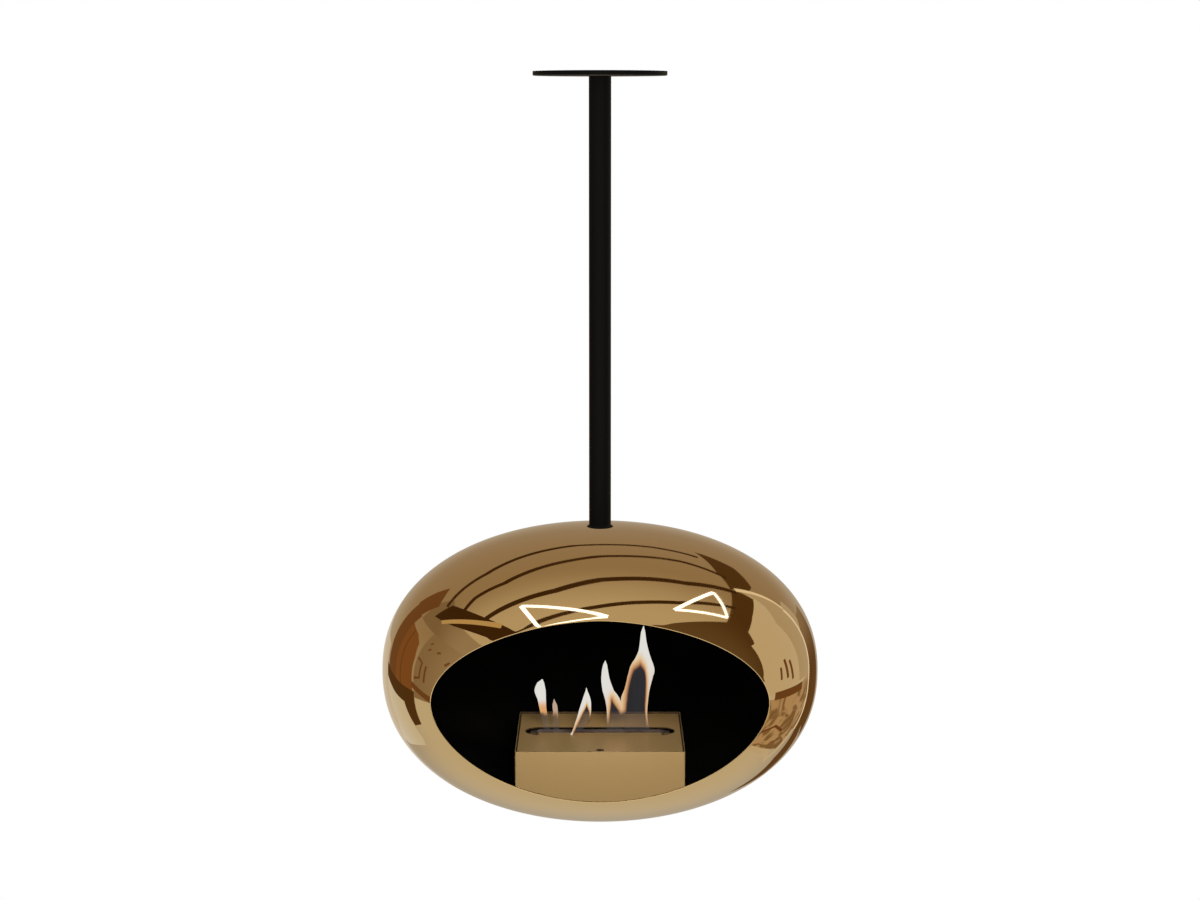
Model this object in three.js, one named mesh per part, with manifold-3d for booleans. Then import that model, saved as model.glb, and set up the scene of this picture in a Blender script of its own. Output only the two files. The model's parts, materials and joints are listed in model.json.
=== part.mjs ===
// A hanging fireplace: a polished dome, open at the front, that turns on a ceiling pole, with a slot
// burner standing inside it. Millimetres, +Z up, the opening faces -Y. The origin is the middle of the
// ceiling plate's upper face.
import * as THREE from "three";
import { mergeVertices } from "three/addons/utils/BufferGeometryUtils.js";
import Module from "manifold-3d";

const wasm = await Module();
wasm.setup();

// ---- Driving dimensions ----

const fitGap = 0.3; // between pieces that stay together
const runningGap = 0.4; // between pieces that move past each other

// Ceiling plate and the spigot under it
const plateDiameter = 180;
const plateThickness = 6;
const plateBevel = 1;
const fixingInset = 20; // from the plate's rim to the middle of a hole
const fixingCount = 4;
const fixingHole = 7;
const fixingSink = 13;
const spigotLength = 40;
const endChamfer = 1; // on the ends of turned pieces

// Pole
const poleDiameter = 30;
const poleWall = 2;
const poleLength = 607;
const footPlugLength = 36;
const grubDiameter = 5;
const grubInset = 18; // from the pole's end to the set screw
const grubBite = 4; // how far it reaches into the spigot or plug
const grubSocketDepth = 2.5;

// Collar and swivel
const collarHeight = 4.5;
const collarProud = 2; // how far its flare stands out past the pole
const collarFlareHeight = 2;
const studDiameter = 12;
const studInPlug = 26;
const studPastNut = 3;
const hubFlangeDiameter = 80;
const hubFlangeThickness = 5;
const hubBossDiameter = 36;
const hubBossLength = 16;
const bushWall = 2.5;
const bushFlangeDiameter = 28;
const bushFlangeThickness = 2;
const washerDiameter = 30;
const washerThickness = 2;
const swivelNutWidth = 19;
const swivelNutHeight = 10;
const lockNutHeight = 6;
const weldStudDiameter = 5;
const weldStudCircle = 60;
const weldStudCount = 4;
const weldStudLength = 13;
const hubNutWidth = 8;
const hubNutHeight = 4;

// Dome
const domeDiameter = 600;
const domeHeight = 392;
const domeRoundness = 2.2; // exponent of the meridian's superellipse, 2 is a plain ellipse
const shellThickness = 1.5;
const linerThickness = 1;
const linerReveal = 1; // how far the liner stops short of the shell's cut edge
const openingWidth = 441.2;
const openingHeight = 239;
const openingRoundness = 1.86; // exponent of the opening's superellipse
const openingCentreHeight = 0.5; // above the dome's widest circle
const openingCutStart = 110; // the cut runs from here out through the front

// Floor of the fire chamber
const hearthMargin = 5; // from the casing's furthest corner to the bowl, at the floor's upper face
const hearthThickness = 2;
const floorPostDiameter = 12;
const floorScrewBite = 5;

// Burner casing
const casingWidth = 230;
const casingDepth = 212;
const casingHeight = 72;
const casingFront = 99; // front face, in front of the dome's axis
const casingWall = 1.5;
const casingCornerRadius = 2.5;
const casingScrewDiameter = 5;
const casingScrewInset = 23; // from the casing's side walls
const casingScrewEndInset = 19; // from its front and back walls
const ledgeWidth = 9;
const ledgeDrop = 12;
const ledgeThickness = 1.5;
const ledgeEndGap = 10; // each end of a ledge, from the side wall

// Lid
const lidDrop = 2.5; // below the casing's rim
const lidThickness = 1.5;
const lidSideGap = 0.8;
const slotEndInset = 11; // from the casing's sides
const slotWidth = 42;
const slotCentre = 17; // behind the dome's axis
const liftHoleDiameter = 10;
const liftHoleInset = 17; // from the casing's front wall

// Damper
const damperThickness = 1.2;
const damperEndInset = 7; // from the casing's sides
const damperDepth = 50;
const damperCornerRadius = 2;
const damperOpenEdge = 19; // leading edge, behind the slot's near edge when open
const damperTravel = 26;
const toolHoleDiameter = 9;
const toolHoleEndInset = 12; // from the slot's ends
const toolHoleInset = 7; // from the leading edge
const railThickness = 1;
const railGrip = 5; // how far a rail reaches under the damper

// Fuel tank
const tankEndInset = 17; // from the casing's sides
const tankDepth = 110;
const tankWall = 1.5;
const tankCornerRadius = 6;
const tankTabWidth = 24;
const tankTabDepth = 14;
const tankScrewDiameter = 4;
const mouthEndInset = 10; // from the tank's ends
const mouthDepth = 22;
const mouthNearInset = 20; // from the slot's near edge
const mouthCornerRadius = 5;
const mouthLipHeight = 4;
const deckThickness = 1.2;
const gridThickness = 1;
const gridDrop = 8; // below the deck
const gridSlotLength = 11;
const gridSlotWidth = 4;
const gridSlotPitch = 14.5; // along a row
const gridRowPitch = 7;
const gridStagger = 0.25; // of the pitch, each way

// Facets
const domeSegments = 44;
const domeRings = 18;
const openingPoints = 44;
const chordError = 0.25; // how far a facet may lie inside a small circle

// ---- Places that follow from them ----

const poleTop = -plateThickness;
const poleFoot = poleTop - poleLength;
const collarFoot = poleFoot - collarHeight;
const collarFlare = poleDiameter + 2 * collarProud;
const domeTop = collarFoot - runningGap;
const domeCentre = domeTop - domeHeight / 2;
const linerInset = shellThickness + fitGap;
const chamberInset = linerInset + linerThickness;
const studHole = studDiameter / 2 + fitGap; // radius
const plugRadius = poleDiameter / 2 - poleWall - fitGap;

// A superellipse point: angle 0 lies on the first axis, 90 degrees on the second.
function superellipse(angle, firstHalf, secondHalf, exponent) {
  const share = (value) => Math.sign(value) * Math.abs(value) ** (2 / exponent);
  return [firstHalf * share(Math.cos(angle)), secondHalf * share(Math.sin(angle))];
}

// The dome's meridian from the top of the axis to its foot, moved inwards along its normal.
function meridian(inset) {
  const radius = domeDiameter / 2;
  const half = domeHeight / 2;
  const points = [];
  for (let i = 0; i <= domeRings; i++) {
    const angle = Math.PI / 2 - (Math.PI * i) / domeRings;
    const [across, up] = superellipse(angle, radius, half, domeRoundness);
    const slope = domeRoundness - 1;
    const normalAcross = Math.abs(across / radius) ** slope / radius;
    const normalUp = (Math.sign(up) * Math.abs(up / half) ** slope) / half;
    const normalLength = Math.hypot(normalAcross, normalUp);
    const onAxis = i === 0 || i === domeRings;
    points.push([
      onAxis ? 0 : across - (inset * normalAcross) / normalLength,
      domeCentre + up - (inset * normalUp) / normalLength,
    ]);
  }
  return points;
}

// Facets lie inside the true circle, so a radius is measured to the middle of a facet.
const facetShare = Math.cos(Math.PI / domeSegments);

// Height of the chamber's floor at a radius.
function bowlHeight(radius) {
  const points = meridian(chamberInset).reverse();
  const next = points.findIndex(([across]) => across * facetShare > radius);
  const [inner, outer] = [points[next - 1], points[next]];
  const share = (radius / facetShare - inner[0]) / (outer[0] - inner[0]);
  return inner[1] + share * (outer[1] - inner[1]);
}

// Radius of the bowl at a height below the dome's widest circle.
function bowlRadius(height) {
  const points = meridian(chamberInset).reverse();
  const next = points.findIndex(([, up]) => up > height);
  const [lower, upper] = [points[next - 1], points[next]];
  const share = (height - lower[1]) / (upper[1] - lower[1]);
  return (lower[0] + share * (upper[0] - lower[0])) * facetShare;
}

const hubTop = domeTop - shellThickness - fitGap;
const hubFlangeFoot = hubTop - hubFlangeThickness;
const hubBossFoot = hubFlangeFoot - hubBossLength;
const bushFoot = hubBossFoot - bushFlangeThickness;
const washerTop = bushFoot - runningGap;
const swivelNutTop = washerTop - washerThickness;
const lockNutTop = swivelNutTop - swivelNutHeight;
const lockNutFoot = lockNutTop - lockNutHeight;

const casingReach = Math.hypot(casingWidth / 2, Math.max(casingFront, casingDepth - casingFront));
const hearthTop = bowlHeight(casingReach + hearthMargin);
const hearthFoot = hearthTop - hearthThickness;
const casingFloor = hearthTop + casingWall;
const casingRim = hearthTop + casingHeight;
const casingMiddle = casingDepth / 2 - casingFront;
const casingInnerFront = casingWall - casingFront;
const casingInnerBack = casingDepth - casingFront - casingWall;
const slotLength = casingWidth - 2 * slotEndInset;
const damperWidth = casingWidth - 2 * damperEndInset;
const tankWidth = casingWidth - 2 * tankEndInset;
const mouthWidth = tankWidth - 2 * mouthEndInset;
const lidTop = casingRim - lidDrop;
const lidFoot = lidTop - lidThickness;
const ledgeTop = lidFoot - fitGap;
const slotNear = slotCentre - slotWidth / 2;
const damperTop = lidFoot - runningGap;
const damperFoot = damperTop - damperThickness;
const damperEdge = slotNear + damperOpenEdge;
const mouthTop = damperFoot - runningGap;
const mouthNear = slotNear + mouthNearInset;
const mouthMiddle = mouthNear + mouthDepth / 2;
const deckTop = mouthTop - mouthLipHeight;
const deckFoot = deckTop - deckThickness;
const gridTop = deckFoot - gridDrop;
const tankFloor = casingFloor + tankWall;

// ---- Materials ----

const finish = (color, roughness, metalness) => new THREE.MeshStandardMaterial({ color, roughness, metalness });
const polishedGold = finish(0xb98d4f, 0.12, 1);
const satinGold = finish(0xb08a55, 0.35, 1);
const mattBlack = finish(0x161514, 0.6, 0.2);
const chamberBlack = finish(0x0b0a0a, 0.85, 0.1);
const stainless = finish(0x8d8f91, 0.3, 1);
const bronze = finish(0x9a6a3a, 0.35, 1);
const zincSteel = finish(0x9da0a3, 0.35, 1);
const mineralWool = finish(0xd8d2c4, 0.95, 0);

// ---- Solids ----

// A closed geometry as a solid, with its faces pointing outwards.
function solid(geometry) {
  const bare = geometry.clone();
  bare.deleteAttribute("normal");
  bare.deleteAttribute("uv");
  const merged = mergeVertices(bare, 1e-4);
  const corners = merged.index.array;
  const faces = [];
  for (let i = 0; i < corners.length; i += 3) {
    const [a, b, c] = [corners[i], corners[i + 1], corners[i + 2]];
    if (a !== b && b !== c && c !== a) faces.push(a, b, c);
  }
  const make = (triangles) =>
    new wasm.Manifold(
      new wasm.Mesh({
        numProp: 3,
        vertProperties: new Float32Array(merged.attributes.position.array),
        triVerts: new Uint32Array(triangles),
      }),
    );
  const made = make(faces);
  return made.volume() < 0 ? make(faces.reverse()) : made;
}

function geometryOf(made) {
  const mesh = made.getMesh();
  const geometry = new THREE.BufferGeometry();
  geometry.setAttribute("position", new THREE.BufferAttribute(mesh.vertProperties, 3));
  geometry.setIndex(new THREE.BufferAttribute(mesh.triVerts, 1));
  const flat = geometry.toNonIndexed();
  flat.computeVertexNormals();
  return flat;
}

// A base solid with others cut out of it.
function cut(base, ...cutters) {
  return cutters.reduce((rest, cutter) => rest.subtract(solid(cutter)), solid(base));
}

function join(first, ...others) {
  return others.reduce((whole, other) => whole.add(solid(other)), solid(first));
}

// Steps in a quarter of a circle.
function quarterSteps(radius) {
  const step = 2 * Math.acos(Math.max(0, 1 - chordError / radius));
  return Math.max(2, Math.ceil(Math.PI / 2 / step));
}

// Points given as [radius, height], turned about +Z.
function turned(points, segments = 4 * quarterSteps(Math.max(...points.map(([radius]) => radius)))) {
  const profile = points.map(([radius, height]) => new THREE.Vector2(radius, height));
  return new THREE.LatheGeometry(profile, segments).rotateX(Math.PI / 2);
}

// A turned ring: a closed section that stays off the axis.
const turnedRing = (points) => turned([...points, points[0]]);

// An upright rod from one height to another.
function rod(radius, from, to) {
  const length = to - from;
  return new THREE.CylinderGeometry(radius, radius, length, 4 * quarterSteps(radius))
    .rotateX(Math.PI / 2)
    .translate(0, 0, from + length / 2);
}

// A bar between two values of X, Y and Z.
const bar = (x, y, z) =>
  new THREE.BoxGeometry(x[1] - x[0], y[1] - y[0], z[1] - z[0]).translate(
    (x[0] + x[1]) / 2,
    (y[0] + y[1]) / 2,
    (z[0] + z[1]) / 2,
  );

// An outline in X and Y, extruded from one height to another.
function slab(outline, from, to) {
  return new THREE.ExtrudeGeometry(outline, { depth: to - from, bevelEnabled: false }).translate(0, 0, from);
}

// A rectangle about a middle point, with round corners.
function roundedRectangle(width, depth, radius, middleX = 0, middleY = 0) {
  const steps = quarterSteps(radius);
  const points = [];
  for (let corner = 0; corner < 4; corner++) {
    const sideX = corner === 0 || corner === 3 ? 1 : -1;
    const sideY = corner < 2 ? 1 : -1;
    for (let i = 0; i <= steps; i++) {
      const angle = (Math.PI / 2) * (corner + i / steps);
      points.push(
        new THREE.Vector2(
          middleX + sideX * (width / 2 - radius) + radius * Math.cos(angle),
          middleY + sideY * (depth / 2 - radius) + radius * Math.sin(angle),
        ),
      );
    }
  }
  const apart = points.filter((point, i) => point.distanceTo(points[(i + 1) % points.length]) > 1e-3);
  return new THREE.Shape(apart);
}

const roundHole = (radius, x = 0, y = 0) => roundedRectangle(2 * radius, 2 * radius, radius, x, y);

// A box with an open top, its walls and floor of one thickness.
function tray(width, depth, radius, wall, middleY, foot, rim) {
  const outside = slab(roundedRectangle(width, depth, radius, 0, middleY), foot, rim);
  const innerRadius = Math.max(radius - wall, wall / 3);
  const inside = roundedRectangle(width - 2 * wall, depth - 2 * wall, innerRadius, 0, middleY);
  return cut(outside, slab(inside, foot + wall, rim + wall));
}

// ---- Dome ----

// The part of a meridian outside a hole at the top.
function belowHole(points, radius) {
  const next = points.findIndex(([across]) => across > radius);
  const [before, after] = [points[next - 1], points[next]];
  const share = (radius - before[0]) / (after[0] - before[0]);
  return [[radius, before[1] + share * (after[1] - before[1])], ...points.slice(next)];
}

// A sheet of the dome, from one inset to a deeper one, with a hole at the top.
function domeSheet(outerInset, innerInset, holeRadius) {
  const outside = belowHole(meridian(outerInset), holeRadius);
  const inside = belowHole(meridian(innerInset), holeRadius);
  return turned([...outside.reverse(), ...inside], domeSegments);
}

// The front opening as a prism along Y, widened all round by grow.
function openingCutter(grow) {
  const outline = new THREE.Shape();
  for (let i = 0; i < openingPoints; i++) {
    const angle = (2 * Math.PI * i) / openingPoints;
    const [x, z] = superellipse(angle, openingWidth / 2 + grow, openingHeight / 2 + grow, openingRoundness);
    if (i === 0) outline.moveTo(x, z);
    else outline.lineTo(x, z);
  }
  outline.closePath();
  const depth = domeDiameter / 2;
  return new THREE.ExtrudeGeometry(outline, { depth, bevelEnabled: false })
    .rotateX(Math.PI / 2)
    .translate(0, -openingCutStart, domeCentre + openingCentreHeight);
}

const domeShell = () => cut(domeSheet(0, shellThickness, studHole), openingCutter(0));

const domeLiner = () =>
  cut(domeSheet(linerInset, chamberInset, hubFlangeDiameter / 2 + fitGap), openingCutter(linerReveal));

// ---- Ceiling plate and pole ----

// Points on a circle, starting between the axes.
function spread(circle, count) {
  return Array.from({ length: count }, (_, i) => {
    const angle = (2 * Math.PI * (i + 0.5)) / count;
    return [(circle / 2) * Math.cos(angle), (circle / 2) * Math.sin(angle)];
  });
}

function ceilingPlate() {
  const radius = plateDiameter / 2;
  const disc = turned([
    [0, -plateThickness],
    [radius - plateBevel, -plateThickness],
    [radius, plateBevel - plateThickness],
    [radius, 0],
    [0, 0],
  ]);
  const [hole, sink] = [fixingHole / 2, fixingSink / 2];
  const cutters = spread(plateDiameter - 2 * fixingInset, fixingCount).map(([x, y]) =>
    turned([
      [0, -2 * plateThickness],
      [sink, -2 * plateThickness],
      [sink, -plateThickness],
      [hole, sink - hole - plateThickness],
      [hole, plateThickness],
      [0, plateThickness],
    ]).translate(x, y, 0),
  );
  return cut(disc, ...cutters);
}

// A rod along Y, from the back of the pole inwards, on the height of a set screw.
function grubCutter(height, radius, from, to) {
  return rod(radius, from, to).rotateX(-Math.PI / 2).translate(0, 0, height);
}

const grubHeights = { top: poleTop - grubInset, foot: poleFoot + grubInset };
const grubTip = plugRadius - grubBite;

function chamferedRod(radius, from, to) {
  return turned([
    [0, from],
    [radius - endChamfer, from],
    [radius, from + endChamfer],
    [radius, to - endChamfer],
    [radius - endChamfer, to],
    [0, to],
  ]);
}

function ceilingSpigot() {
  const body = chamferedRod(plugRadius, poleTop - spigotLength, poleTop);
  const grubBore = grubCutter(grubHeights.top, grubDiameter / 2 + fitGap, grubTip - fitGap, poleDiameter);
  return cut(body, grubBore);
}

function pole() {
  const [outer, inner] = [poleDiameter / 2, poleDiameter / 2 - poleWall];
  const tube = turnedRing([
    [outer, poleFoot],
    [outer, poleTop],
    [inner, poleTop],
    [inner, poleFoot],
  ]);
  const holes = Object.values(grubHeights).map((height) =>
    grubCutter(height, grubDiameter / 2 + fitGap, inner / 2, poleDiameter),
  );
  return cut(tube, ...holes);
}

function footPlug() {
  const body = chamferedRod(plugRadius, poleFoot, poleFoot + footPlugLength);
  const bore = rod(studHole, poleFoot - 1, poleFoot + studInPlug + fitGap);
  const grubBore = grubCutter(grubHeights.foot, grubDiameter / 2 + fitGap, grubTip - fitGap, poleDiameter);
  return cut(body, bore, grubBore);
}

// A set screw with its socket facing back, and its outer end just under the pole's surface.
function grub(height) {
  const radius = grubDiameter / 2;
  const end = poleDiameter / 2 - fitGap;
  const socketFloor = end - grubSocketDepth;
  return turned([
    [0, grubTip],
    [radius / 2, grubTip],
    [radius, grubTip + radius / 2],
    [radius, end],
    [radius / 2, end],
    [radius / 2, socketFloor],
    [0, socketFloor],
  ])
    .rotateX(-Math.PI / 2)
    .translate(0, 0, height);
}

// ---- Collar and swivel ----

const collar = () =>
  turnedRing([
    [studHole, collarFoot],
    [collarFlare / 2 - collarFlareHeight / 2, collarFoot],
    [collarFlare / 2, collarFoot + collarFlareHeight / 2],
    [collarFlare / 2, collarFoot + collarFlareHeight],
    [poleDiameter / 2, poleFoot],
    [studHole, poleFoot],
  ]);

const swivelStud = () => chamferedRod(studDiameter / 2, lockNutFoot - studPastNut, poleFoot + studInPlug);

const washer = (inner, outer, foot, top) =>
  turnedRing([
    [inner, foot],
    [outer, foot],
    [outer, top],
    [inner, top],
  ]);

// A hexagon nut, its width measured across the flats.
function nut(width, hole, foot, top) {
  const outline = new THREE.Shape();
  const corner = width / Math.sqrt(3);
  for (let i = 0; i < 6; i++) {
    const angle = (Math.PI * i) / 3;
    const point = [corner * Math.cos(angle), corner * Math.sin(angle)];
    if (i === 0) outline.moveTo(...point);
    else outline.lineTo(...point);
  }
  outline.closePath();
  outline.holes.push(roundHole(hole));
  return slab(outline, foot, top);
}

const bushBore = studHole + fitGap;
const hubBore = bushBore + bushWall + fitGap;

// The hub's flange follows the inside of the crown, and its boss holds the bush.
function swivelHub() {
  const flange = hubFlangeDiameter / 2;
  const boss = hubBossDiameter / 2;
  const underShell = meridian(linerInset).filter(([, up]) => up > domeCentre);
  const crown = belowHole(underShell, hubBore).filter(([across]) => across < flange);
  const edge = belowHole(underShell, flange)[0];
  const body = turnedRing([
    [hubBore, hubBossFoot],
    [boss, hubBossFoot],
    [boss, hubFlangeFoot],
    [flange, hubFlangeFoot],
    edge,
    ...crown.reverse(),
  ]);
  const holes = spread(weldStudCircle, weldStudCount).map(([x, y]) =>
    rod(weldStudDiameter / 2 + fitGap, hubBossFoot, domeTop).translate(x, y, 0),
  );
  return cut(body, ...holes);
}

const swivelBush = () =>
  turnedRing([
    [bushBore, bushFoot],
    [bushFlangeDiameter / 2, bushFoot],
    [bushFlangeDiameter / 2, hubBossFoot],
    [bushBore + bushWall, hubBossFoot],
    [bushBore + bushWall, hubTop - fitGap],
    [bushBore, hubTop - fitGap],
  ]);

// Where the inside of the crown is lowest over a weld stud's end.
const weldStudTop = belowHole(meridian(shellThickness), weldStudCircle / 2 + weldStudDiameter)[0][1] - fitGap;

const weldStud = () => chamferedRod(weldStudDiameter / 2, weldStudTop - weldStudLength, weldStudTop);

const hubNut = () =>
  nut(hubNutWidth, weldStudDiameter / 2 + fitGap, hubFlangeFoot - hubNutHeight, hubFlangeFoot);

// ---- Floor of the fire chamber and the burner's casing ----

// The casing's four floor screws: left and right, front and back.
const casingScrewX = casingWidth / 2 - casingWall - casingScrewInset;
const casingScrewPlaces = [-1, 1].flatMap((side) => [
  [side * casingScrewX, casingInnerFront + casingScrewEndInset],
  [side * casingScrewX, casingInnerBack - casingScrewEndInset],
]);
const tankMiddle = mouthMiddle - mouthDepth / 2;
const tankScrewReach = tankDepth / 2 + tankTabDepth / 2;
const tankScrewPlaces = [tankMiddle - tankScrewReach, tankMiddle + tankScrewReach];

function floorHoles(from, to) {
  const casingHoles = casingScrewPlaces.map(([x, y]) =>
    rod(casingScrewDiameter / 2 + fitGap, from, to).translate(x, y, 0),
  );
  const tankHoles = tankScrewPlaces.map((y) =>
    rod(tankScrewDiameter / 2 + fitGap, from, to).translate(0, y, 0),
  );
  return [...casingHoles, ...tankHoles];
}

function hearthPlate() {
  const disc = turned(
    [
      [0, hearthFoot],
      [bowlRadius(hearthFoot) - 2 * fitGap, hearthFoot],
      [bowlRadius(hearthTop) - 2 * fitGap, hearthTop],
      [0, hearthTop],
    ],
    domeSegments,
  );
  return cut(disc, ...floorHoles(hearthFoot - 1, hearthTop + 1));
}

// A post on the bowl, bored from above for a floor screw.
function floorPost([x, y]) {
  const radius = floorPostDiameter / 2;
  const foot = bowlHeight(Math.hypot(x, y) + radius) + fitGap;
  const bore = casingScrewDiameter / 2 + fitGap;
  const boreFoot = hearthFoot - floorScrewBite - fitGap;
  return turned([
    [0, foot],
    [radius, foot],
    [radius, hearthFoot],
    [bore, hearthFoot],
    [bore, boreFoot],
    [0, boreFoot],
  ]).translate(x, y, 0);
}

// A pan-head screw standing on a seat, with a round socket in its head.
function panScrew(diameter, tip, seat) {
  const radius = diameter / 2;
  const head = 0.9 * diameter;
  const headTop = seat + 0.6 * diameter;
  const socket = radius / 2;
  return turned([
    [0, tip],
    [radius - socket / 2, tip],
    [radius, tip + socket / 2],
    [radius, seat],
    [head, seat],
    [head, (seat + headTop) / 2],
    [head - socket, headTop],
    [socket, headTop],
    [socket, headTop - socket],
    [0, headTop - socket],
  ]);
}

const casingScrew = ([x, y]) =>
  panScrew(casingScrewDiameter, hearthFoot - floorScrewBite, casingFloor).translate(x, y, 0);

function burnerCasing() {
  const box = tray(
    casingWidth,
    casingDepth,
    casingCornerRadius,
    casingWall,
    casingMiddle,
    hearthTop,
    casingRim,
  );
  return floorHoles(hearthTop - 1, casingFloor + 1).reduce((rest, hole) => rest.subtract(solid(hole)), box);
}

// An angle under the lid, its upright leg along the casing's wall. Side -1 is the front, 1 the back.
function ledge(side) {
  const length = casingWidth - 2 * (casingWall + ledgeEndGap);
  const wall = side < 0 ? casingInnerFront + fitGap : casingInnerBack - fitGap;
  const points = [
    [0, ledgeTop],
    [ledgeWidth, ledgeTop],
    [ledgeWidth, ledgeTop - ledgeThickness],
    [ledgeThickness, ledgeTop - ledgeThickness],
    [ledgeThickness, ledgeTop - ledgeDrop],
    [0, ledgeTop - ledgeDrop],
  ];
  const outline = new THREE.Shape(points.map(([out, z]) => new THREE.Vector2(wall - side * out, z)));
  return new THREE.ExtrudeGeometry(outline, { depth: length, bevelEnabled: false })
    .rotateX(Math.PI / 2)
    .rotateZ(Math.PI / 2)
    .translate(-length / 2, 0, 0);
}

// ---- Fuel tank ----

// A tray with a tab at the foot of its front and back, each bored for a screw.
function fuelTank() {
  const box = tray(tankWidth, tankDepth, tankCornerRadius, tankWall, tankMiddle, casingFloor, deckFoot);
  const tabLength = tankTabDepth + tankWall / 2; // it reaches half way into the wall
  const tabMiddle = (tankDepth + tankTabDepth - tankWall / 2) / 2;
  const tabTop = tankFloor - fitGap;
  const tabs = [-1, 1].map((side) =>
    solid(
      bar(
        [-tankTabWidth / 2, tankTabWidth / 2],
        [tankMiddle + side * tabMiddle - tabLength / 2, tankMiddle + side * tabMiddle + tabLength / 2],
        [casingFloor, tabTop],
      ),
    ),
  );
  const holes = tankScrewPlaces.map((y) =>
    solid(rod(tankScrewDiameter / 2 + fitGap, casingFloor - 1, tankFloor + 1).translate(0, y, 0)),
  );
  const withTabs = tabs.reduce((whole, tab) => whole.add(tab), box);
  return holes.reduce((rest, hole) => rest.subtract(hole), withTabs);
}

const tankScrew = (y) =>
  panScrew(tankScrewDiameter, hearthFoot - fitGap, tankFloor - fitGap).translate(0, y, 0);

// The deck over the tank, with an upright lip all round its mouth.
function tankCover() {
  const mouth = (grow) =>
    roundedRectangle(mouthWidth + 2 * grow, mouthDepth + 2 * grow, mouthCornerRadius + grow, 0, mouthMiddle);
  const deck = roundedRectangle(tankWidth, tankDepth, tankCornerRadius, 0, tankMiddle);
  deck.holes.push(mouth(0));
  const lip = mouth(deckThickness);
  lip.holes.push(mouth(0));
  return join(slab(deck, deckFoot, deckTop), slab(lip, deckFoot, mouthTop));
}

const woolOutline = () =>
  roundedRectangle(
    tankWidth - 2 * (tankWall + fitGap),
    tankDepth - 2 * (tankWall + fitGap),
    tankCornerRadius - tankWall,
    0,
    tankMiddle,
  );

const ceramicWool = () => slab(woolOutline(), tankFloor + fitGap, gridTop - gridThickness - fitGap);

// A sheet on the wool, with staggered rows of round-ended slots below the mouth.
function woolGrid() {
  const outline = woolOutline();
  const rows = Math.floor(mouthDepth / gridRowPitch);
  const columns = Math.floor(mouthWidth / gridSlotPitch);
  for (let row = 0; row < rows; row++) {
    const stagger = row % 2 ? gridStagger : -gridStagger;
    for (let column = 0; column < columns; column++) {
      const x = (column - (columns - 1) / 2 + stagger) * gridSlotPitch;
      const y = mouthMiddle + (row - (rows - 1) / 2) * gridRowPitch;
      outline.holes.push(roundedRectangle(gridSlotLength, gridSlotWidth, gridSlotWidth / 2, x, y));
    }
  }
  return slab(outline, gridTop - gridThickness, gridTop);
}

// ---- Lid and damper ----

function topPlate() {
  const outline = roundedRectangle(
    casingWidth - 2 * (casingWall + lidSideGap),
    casingDepth - 2 * (casingWall + lidSideGap),
    casingCornerRadius,
    0,
    casingMiddle,
  );
  outline.holes.push(
    roundedRectangle(slotLength, slotWidth, slotWidth / 2, 0, slotCentre),
    roundHole(liftHoleDiameter / 2, 0, casingInnerFront + liftHoleInset),
  );
  return slab(outline, lidFoot, lidTop);
}

function damperPlate() {
  const outline = roundedRectangle(
    damperWidth,
    damperDepth,
    damperCornerRadius,
    0,
    damperEdge - damperDepth / 2,
  );
  const toolHoleX = slotLength / 2 - toolHoleEndInset;
  for (const x of [-toolHoleX, toolHoleX]) {
    outline.holes.push(roundHole(toolHoleDiameter / 2, x, damperEdge - toolHoleInset));
  }
  return slab(outline, damperFoot, damperTop);
}

// A channel under the lid that holds one edge of the damper, with its ends bent up as stops.
function damperRail(side) {
  const inner = damperWidth / 2 + runningGap;
  const outer = inner + railThickness;
  const grip = damperWidth / 2 - railGrip;
  const flangeTop = damperFoot - runningGap;
  const front = damperEdge - damperDepth - runningGap;
  const back = damperEdge + damperTravel + runningGap;
  const across = (from, to) => (side < 0 ? [-to, -from] : [from, to]);
  const whole = [front - railThickness, back + railThickness];
  const height = [flangeTop - railThickness, lidFoot];
  return join(
    bar(across(inner, outer), whole, height),
    bar(across(grip, outer), whole, [flangeTop - railThickness, flangeTop]),
    bar(across(grip, outer), [front - railThickness, front], height),
    bar(across(grip, outer), [back, back + railThickness], height),
  );
}

// ---- Assembly ----

const fireplace = new THREE.Group();

function add(name, shape, material) {
  const geometry = shape.isBufferGeometry ? shape : geometryOf(shape);
  const mesh = new THREE.Mesh(geometry, material);
  mesh.name = name;
  fireplace.add(mesh);
}

add("ceiling_plate", ceilingPlate(), mattBlack);
add("ceiling_spigot", ceilingSpigot(), zincSteel);
add("pole", pole(), mattBlack);
add("pole_foot_plug", footPlug(), zincSteel);
add("pole_grub_top", grub(grubHeights.top), mattBlack);
add("pole_grub_foot", grub(grubHeights.foot), mattBlack);
add("collar", collar(), mattBlack);
add("swivel_stud", swivelStud(), zincSteel);
add("thrust_washer", washer(studHole, washerDiameter / 2, swivelNutTop, washerTop), zincSteel);
add("swivel_nut", nut(swivelNutWidth, studHole, lockNutTop, swivelNutTop), zincSteel);
add("lock_nut", nut(swivelNutWidth, studHole, lockNutFoot, lockNutTop), zincSteel);

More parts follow.
